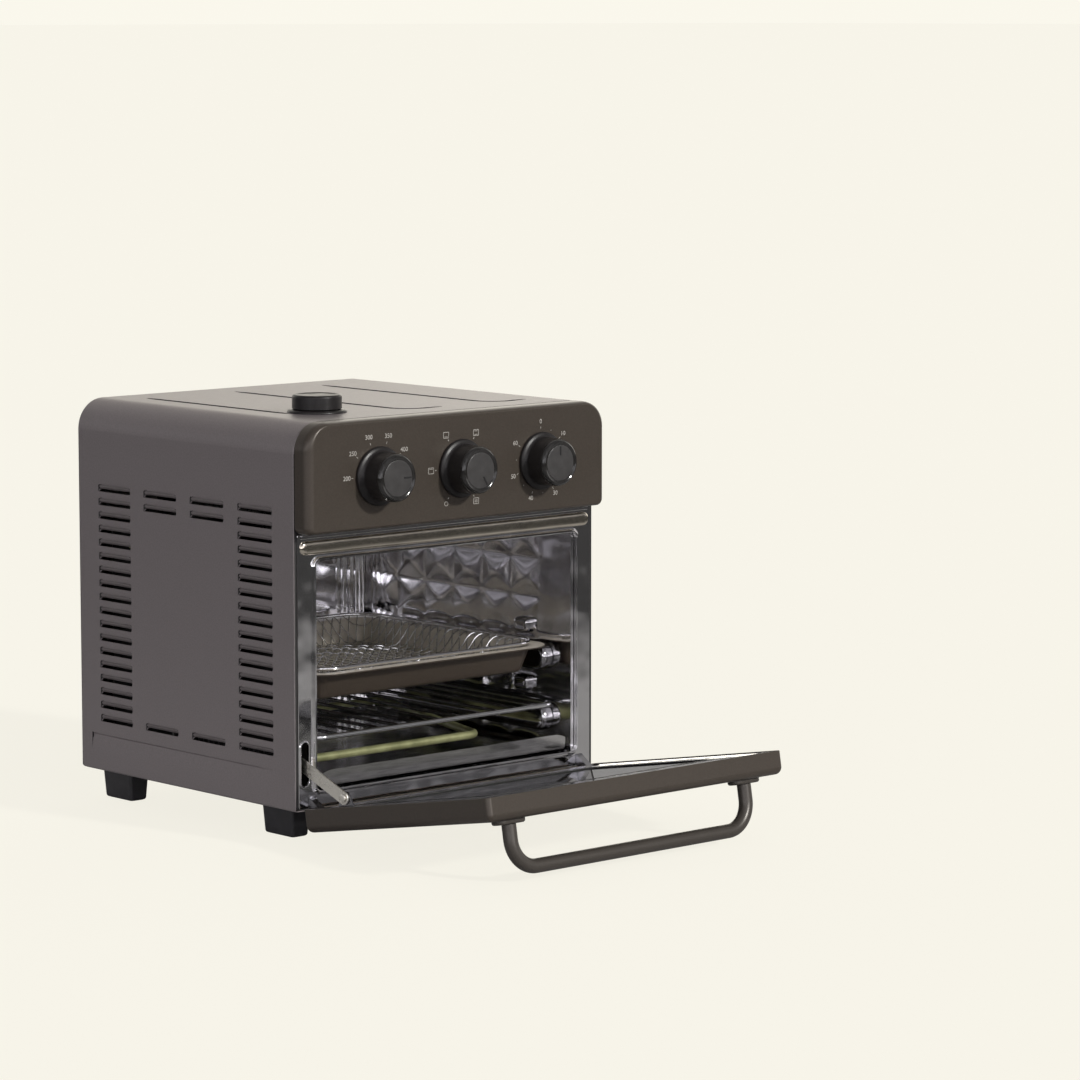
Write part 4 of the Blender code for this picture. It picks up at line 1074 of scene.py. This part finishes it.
def build_door():
    """Painted outer tray, bright inner frame, window gaskets and two panes."""
    rings = [door_ring(*point) for point in section(DOOR_OUTER_Y, (-4, 0.9), (-1.8, 2.2), (-0.9, 6))
             + section(DOOR_INNER_Y, (-0.9, 0), (-0.3, 0), (0, -0.3))]
    edge = 0.0060
    for angle in even(0, pi / 2, 10):
        rings.append(door_ring(-edge * (1 - cos(angle)), DOOR_OUTER_Y + edge * (1 - sin(angle))))
    on_door(door_openings(loft(rings)), "door_tray", "door", "panel_paint", PANEL_PAINT,
            ["door_shell"], 25)

    face = DOOR_INNER_Y - 0.0005
    inner = loft([door_ring(*point) for point in section(
        face, (-1.2, -1), (-1.2, -0.3), (-1.6, 0), (-13.2, 0), (-15.2, -0.5), (-17.2, -0.5))])
    on_door(door_openings(inner), "door_liner", "door", "chrome_steel", CHROME,
            ["door_inner_frame"], 25)

    window = (WINDOW_LOW, WINDOW_HIGH, 0.006, "Y")
    gaskets = [moulding(*window, section(y, (-2.2, -0.4), (0.3, -0.4), (0.3, 0.4), (-2.2, 0.4)))
               for y in (face - 0.0007, DOOR_OUTER_Y + 0.0012)]
    on_door(join(gaskets), "window_gaskets", "door", "black_plastic", GASKET_BLACK)

    overlap = Vector((0.008, 0.007))
    for name, start in (("inner", DOOR_INNER_Y - 0.0048), ("outer", DOOR_OUTER_Y + 0.0012)):
        glass = moulding(WINDOW_LOW - overlap, WINDOW_HIGH + overlap, 0.003, "Y",
                         section(start, (-0.4, 0), (0, 0.4), (0, 2.6), (-0.4, 3)), False)
        on_door(glass, f"pane_{name}", "door", "door_glass", GLASS, [f"door_glass_{name}"])


def build_handle():
    """Bent tube handle with its base plates."""
    top = DOOR_OUTER_Y - GAP
    half = Vector((0.01425, 0.007))
    for x, name in ((-HANDLE_X, "left"), (HANDLE_X, "right")):
        middle = Vector((x, HANDLE_Z))
        plate = moulding(middle - half, middle + half, 0.0068, "Y",
                         section(top, (0, 0), (0, -2), (-0.4, -2.8), (-1.2, -3.3)), False)
        on_door(plate, f"handle_foot_{name}", "door", "handle_paint", HANDLE_PAINT,
                [f"handle_plate_{name}"])
    start = top - 0.0036
    route = ((-HANDLE_X, start), (-HANDLE_X, HANDLE_Y), (HANDLE_X, HANDLE_Y), (HANDLE_X, start))
    corners = [(Vector((x, y, HANDLE_Z)), HANDLE_BEND) for x, y in route]
    bar = tube(round_corners(corners, 18, closed=False), HANDLE_RADIUS, 32)
    on_door(bar, "handle_bar", "door", "handle_paint", HANDLE_PAINT, ["door_handle"], 40)


def build_stay():
    """Satin stay arm with rounded edges, on a lug with a domed rivet."""
    x, y, z = STAY_PIVOT
    half = 0.00525
    outline = rounded_box((y - half, z - half), (y + STAY_LENGTH + half, z + half), half * 0.98, 14)
    arm = prism(outline, "X", x - 0.0009, x + 0.0006)
    for along, radius, steps in ((0, 0.0023, 24), (STAY_LENGTH, 0.0015, 16)):
        cut(arm, prism(disc((y + along, z), radius, steps), "X", x - 0.01, x + 0.01))
    soften(arm, 0.0003, 2)
    turn = Matrix.Rotation(radians(STAY_RISE - DOOR_OPEN), 4, "X")
    moved(arm, Matrix.Translation(STAY_PIVOT) @ turn @ Matrix.Translation(-STAY_PIVOT))
    on_door(arm, "stay_bar", "stay", "zinc_steel", SATIN_STEEL, ["stay_arm"])

    rivet = section(x, (0, -2.2), (2.4, -2.2), (3.2, -1.8), (3.2, -1.2), (2, -1.2), (2, 2.4),
                    (3.1, 2.4), (3, 2.7), (2.3, 3), (1.2, 3.1), (0, 3.1))
    on_door(turned(rivet, "X", (y, z), 32), "stay_rivet_domed", "door", "zinc_steel",
            SATIN_STEEL, ["stay_rivet"], 40)


def build_spring():
    """Coil spring between the stay arm's hook and its anchor, drawn at one length; the real one shortens
    as the door shuts.
    """
    low, high = place("door_spring")
    middle = (low + high) / 2
    turns, radius, wire = 22, 0.0033, 0.00055
    route = []
    for share in even(0, 1, turns * 16):
        angle = 2 * pi * turns * share
        y = low.y + wire + (high.y - low.y - 2 * wire) * share
        route.append(Vector((middle.x + radius * cos(angle), y, middle.z + radius * sin(angle))))
    spring = piece(tube(route, wire, 8), "spring_coil", "oven", "zinc_steel", SPRING_STEEL,
                   ["door_spring"], 60)
    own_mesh(spring)


# Accessories

def build_rack():
    """Wire rack: a round rim with eleven rods resting on it."""
    low, high = RACK_LOW.xy, RACK_HIGH.xy
    z = RACK_LOW.z + RACK_WIRE
    edge = Vector((RACK_WIRE, RACK_WIRE))
    rim = spaced(lift(rounded_box(low + edge, high - edge, 0.012, 12), "Z", z), 0.02)
    parts = [tube(rim, RACK_WIRE, 16, closed=True)]
    for index in range(RACK_RODS):
        x = (index - (RACK_RODS - 1) / 2) * RACK_PITCH
        top = z + 0.0012
        corners = [Vector((x, low.y + 0.0024, top)), Vector((x, high.y - 0.0024, top))]
        parts.append(soften(tube(corners, RACK_ROD, 14), 0.0005, 3))
    piece(join(parts), "rack_wires", "rack", "accessory_steel", BRIGHT_WIRE, ["wire_rack"], 40)


def build_pan():
    """Baking pan with a rolled flange, pale inside and dark outside."""
    base, rim = PAN_LOW.z, PAN_HIGH.z
    inside = section(base, (-24.5, 0.7), (-22.2, 1), (-20.5, 2.4), (-19.4, 4.6)) + section(
        rim, (-14.6, -4.2), (-13.6, -1.8), (-12.4, -0.6), (-10.8, -0.1), (-8, 0), (-0.6, 0))
    outside = section(rim, (0, -0.2), (0, -0.8), (-0.6, -1.1), (-1.2, -0.7), (-9.8, -0.7),
                      (-11.7, -1.2), (-13, -3)) + section(
        base, (-18.8, 4.8), (-20, 1.8), (-21.8, 0.3), (-24.5, 0))
    rings = [lift(grown(PAN_LOW.xy, PAN_HIGH.xy, PAN_RADIUS, reach, 12), "Z", z)
             for reach, z in inside + outside]
    body = loft(rings)
    inner_faces = (len(inside) - 1) * len(rings[0])
    for index, face in enumerate(body.data.polygons):
        face.material_index = 0 if index == 0 or 2 <= index < inner_faces + 2 else 1
    piece(body, "pan_pressed", "pan", "pan_coating", [PAN_INSIDE, PAN_OUTSIDE], ["baking_pan"], 40)


def basket_height(point, middle, half):
    """How far a point in plan lies inside the basket's edge, and the mesh's height there."""
    out = Vector((abs(point.x - middle.x), abs(point.y - middle.y)))
    out -= half - Vector((BASKET_RADIUS, BASKET_RADIUS))
    inside = BASKET_RADIUS - (hypot(max(out.x, 0), max(out.y, 0)) + min(max(out.x, out.y), 0))
    rim_z = BASKET_HIGH.z - RIM_WIRE
    lip_z = rim_z - BASKET_LIP
    if inside < LIP_WIDTH:
        return inside, rim_z - BASKET_LIP * inside / LIP_WIDTH
    share = min((inside - LIP_WIDTH) / 0.0082, 1)
    return inside, lip_z + (BASKET_LOW.z + 0.0012 - lip_z) * share


def build_basket():
    """Air-fry basket: woven diagonal wires on a bright rim wire."""
    wire, pitch, step = 0.00055, 0.0066, 0.0033
    middle = (BASKET_LOW.xy + BASKET_HIGH.xy) / 2
    half = (BASKET_HIGH.xy - BASKET_LOW.xy) / 2 - Vector((RIM_WIRE, RIM_WIRE))
    outline = rounded_box(middle - half, middle + half, BASKET_RADIUS, 14)
    rim = spaced(lift(outline, "Z", BASKET_HIGH.z - RIM_WIRE), 0.015)
    parts = [painted(tube(rim, RIM_WIRE, 14, closed=True), 1)]
    diagonal = (half.x + half.y + 2 * RIM_WIRE) * 0.7072
    reach, samples = int(diagonal / pitch) + 1, int(diagonal / step) + 1
    for turn in (1, -1):
        along = Vector((1, turn)).normalized()
        across = Vector((-turn, 1)).normalized()
        for line in range(-reach, reach + 1):
            route = []
            for sample in range(-samples, samples + 1):
                point = middle + across * (line * pitch) + along * (sample * step)
                inside, z = basket_height(point, middle, half)
                if inside >= 0:
                    over = 1 if (sample // 2 + line) % 2 == (turn + 1) // 2 else -1
                    route.append(Vector((point.x, point.y, z + over * wire * 0.9)))
            if len(route) > 2:
                parts.append(tube(route, wire, 6))
    piece(join(parts), "basket_woven", "basket", "accessory_steel", [BRIGHT_WIRE, CHROME],
          ["air_fry_basket"], 60)


def crumb_relief(x, y, lip):
    """How far the crumb tray's edge bead, rim and rounded lip change its height."""
    side = min(x - CRUMB_LOW.x, CRUMB_HIGH.x - x)
    inward = min(side, CRUMB_HIGH.y - y)
    behind = y - CRUMB_LOW.y
    bead = 0.0016 * max(1 - abs(inward - 0.0050) / 0.0016, 0) if behind > 0.004 else 0
    rim = 0.0032 * max(1 - inward / 0.0024, 0) if behind > 0.0061 else 0
    drop = 0.0030 * max(1 - side / 0.012, 0) ** 2 * min(lip / CRUMB_LIP, 1)
    return max(bead, rim) - drop


def build_crumb_tray():
    """Polished crumb tray: a bead on three sides and an upturned front lip."""
    low, high = CRUMB_LOW, CRUMB_HIGH
    thick, edge = 0.0008, 0.010
    across = sorted(set(even(low.x, low.x + edge, 12) + even(low.x + edge, high.x - edge, 24)
                        + even(high.x - edge, high.x, 12)))
    flat = even(low.y + 0.012, high.y - edge, 30) + even(high.y - edge, high.y, 12)[1:]
    lines = section(0, (0, 12.8), (0.2, 6), (0.8, 2.2), (2.4, 0.6), (6, 0))
    lines = [(low.y + y, lip) for y, lip in lines] + [(y, 0) for y in flat]
    rows = [[Vector((x, y, low.z + thick + lip + crumb_relief(x, y, lip))) for x in across]
            for y, lip in lines]
    piece(sheet(rows, thick), "crumb_tray_pressed", "tray", "accessory_steel", TRAY_STEEL,
          ["crumb_tray"], 30)


# CAD nodes that stay as they are

KEPT = (
    (ZINC, ("base_plate", "fan_blade", "heater_clip", "shaft_temperature", "shaft_function",
            "shaft_timer")),
    # Inner parts seen through the vents take the darker zinc, painted shade.
    (DARK_ZINC_SHADE, ("switch_bracket", "fan_motor", "steam_tube", "spring_anchor")),
    # Hinge ears and stay lug take the darker steel, painted shade.
    (HINGE_STEEL_SHADE, ("hinge_ear_left", "hinge_ear_right", "stay_lug")),
    (LINER, ("fan_guard",)),
    (BLACK_PLASTIC, ("rear_bumper_left", "rear_bumper_right", "cord_gland")),
    (SWITCH_GREY, ("thermostat", "function_switch", "timer_module")),
)


def paint_kept_nodes():
    """Give every CAD node that stays visible its procedural material."""
    for look, nodes in KEPT:
        for node in nodes:
            slots = frame["nodes"][node].data.materials
            slots.clear()
            slots.append(look)


# Stage, light and camera

BACKDROP = (0.958, 0.933, 0.842)
FLOOR_SEEN = (0.960, 0.935, 0.846)
FLOOR_BOUNCE = ((0.70, 0.42), (1.30, 0.07))     # distance from the oven, and what comes back
FLOOR_REACH = 150
FLOOR_GLOW = 0.88           # share of the floor's look that shadows don't darken
SKY = ((0.0, 0.86), (0.15, 0.71), (0.38, 0.30), (0.68, 0.19), (1.0, 0.38))    # height, level
SKY_TINTS = ((0.97, 0.955, 1.0), (1.0, 0.95, 0.84))    # behind the camera, and facing it
BRIGHT_AXIS = (0.672, 0.740, 0)
AXIS_LEVELS = (0.50, 2.75)  # brightness across that axis, and along it
SCREEN_SCALE = 5.0          # patches of light and dark that the polished steel mirrors
SCREEN_EDGE = (0.44, 0.56)
SCREEN_LEVELS = (0.55, 1.40)
KEY_POWER = 2.5
KEY_ANGLE = 5
KEY_TURN = (62, 24, 0)
KEY_COLOUR = (1.0, 0.985, 0.95)
CAMERA_PLACE = Vector((-2.18503, -2.54619, 0.64007))
CAMERA_TURN = -42.236       # degrees round from looking along +Y
CAMERA_DIP = 7.071          # degrees below the horizon
CAMERA_LENS = 142.45


def build_stage():
    """Plain pale floor that reaches the horizon, and gives little light back to the oven."""
    mesh = bmesh.new()
    bmesh.ops.create_grid(mesh, x_segments=1, y_segments=1, size=FLOOR_REACH)
    floor = solid(mesh)
    floor.name = "studio_floor"
    look = bpy.data.materials.new("floor_paper")
    look.use_nodes = True
    graph = Graph(look.node_tree)
    graph.nodes.remove(graph.nodes["Principled BSDF"])
    reach = graph.add("VectorMath", {0: graph.add("TexCoord", out="Object")}, "Value",
                      operation="LENGTH")
    distances, shares = zip(*FLOOR_BOUNCE)
    dim = graph.add("BsdfDiffuse", {"Color": graph.spread(reach, distances, shares)})
    paper = graph.add("BsdfDiffuse", {"Color": (*FLOOR_SEEN, 1)})
    glow = graph.add("Emission", {"Color": (*BACKDROP, 1)})
    seen = graph.add("MixShader", {0: FLOOR_GLOW, 1: paper, 2: glow})
    graph.finish(graph.add("MixShader", {0: graph.add("LightPath"), 1: dim, 2: seen}),
                 "Material Output")
    floor.data.materials.append(look)


def build_light():
    """A soft studio: bright overhead and behind, darker in front, with a soft key light."""
    world = bpy.data.worlds.new("studio")
    bpy.context.scene.world = world
    world.use_nodes = True
    sky = Graph(world.node_tree)
    direction = sky.add("TexCoord", out="Generated")
    height = sky.add("SeparateXYZ", {"Vector": direction}, "Z")
    level = sky.ramp(height, [(position, (grey, grey, grey)) for position, grey in SKY], "EASE")
    facing = sky.add("VectorMath", {0: direction, 1: BRIGHT_AXIS}, "Value", operation="DOT_PRODUCT")
    either = sky.add("Math", {0: facing}, operation="ABSOLUTE")
    screens = sky.add("TexNoise", {"Vector": direction, "Scale": SCREEN_SCALE, "Detail": 0})
    for source, old, new in ((either, (0, 1), AXIS_LEVELS), (screens, SCREEN_EDGE, SCREEN_LEVELS)):
        share = sky.spread(source, old, new, interpolation_type="SMOOTHSTEP")
        level = sky.add("Math", {0: level, 1: share}, operation="MULTIPLY")
    tint = sky.ramp(facing, list(enumerate(SKY_TINTS)))
    sky.nodes.remove(sky.nodes["Background"])
    studio = sky.add("Background", {"Color": tint, "Strength": level})
    backdrop = sky.add("Background", {"Color": (*BACKDROP, 1)})
    sky.finish(sky.add("MixShader", {0: sky.add("LightPath"), 1: studio, 2: backdrop}),
               "World Output")

    key = bpy.data.lights.new("key", "SUN")
    key.energy = KEY_POWER
    key.angle = radians(KEY_ANGLE)
    key.color = KEY_COLOUR
    holder = bpy.data.objects.new("key", key)
    holder.rotation_euler = [radians(turn) for turn in KEY_TURN]
    bpy.context.collection.objects.link(holder)


def build_camera():
    """Camera at the viewing angle of a product shot from the front left."""
    camera = bpy.data.cameras.new("camera")
    camera.lens = CAMERA_LENS
    camera.sensor_width = 36
    camera.clip_start = 0.05
    camera.clip_end = 400
    holder = bpy.data.objects.new("camera", camera)
    holder.location = CAMERA_PLACE
    holder.rotation_euler = (radians(90 - CAMERA_DIP), 0, radians(CAMERA_TURN))
    bpy.context.collection.objects.link(holder)
    bpy.context.scene.camera = holder
    bpy.context.scene.view_settings.view_transform = "Standard"


build_camera()
build_stage()
build_light()
build_shell()
build_back()
build_feet()
build_panel()
build_marks()
build_knobs()
build_front_frame()
build_side_walls()
build_cavity_rest()
build_roof()
build_rails()
build_heaters()
build_steam_fittings()
build_door()
build_handle()
build_stay()
build_spring()
build_rack()
build_pan()
build_basket()
build_crumb_tray()
paint_kept_nodes()
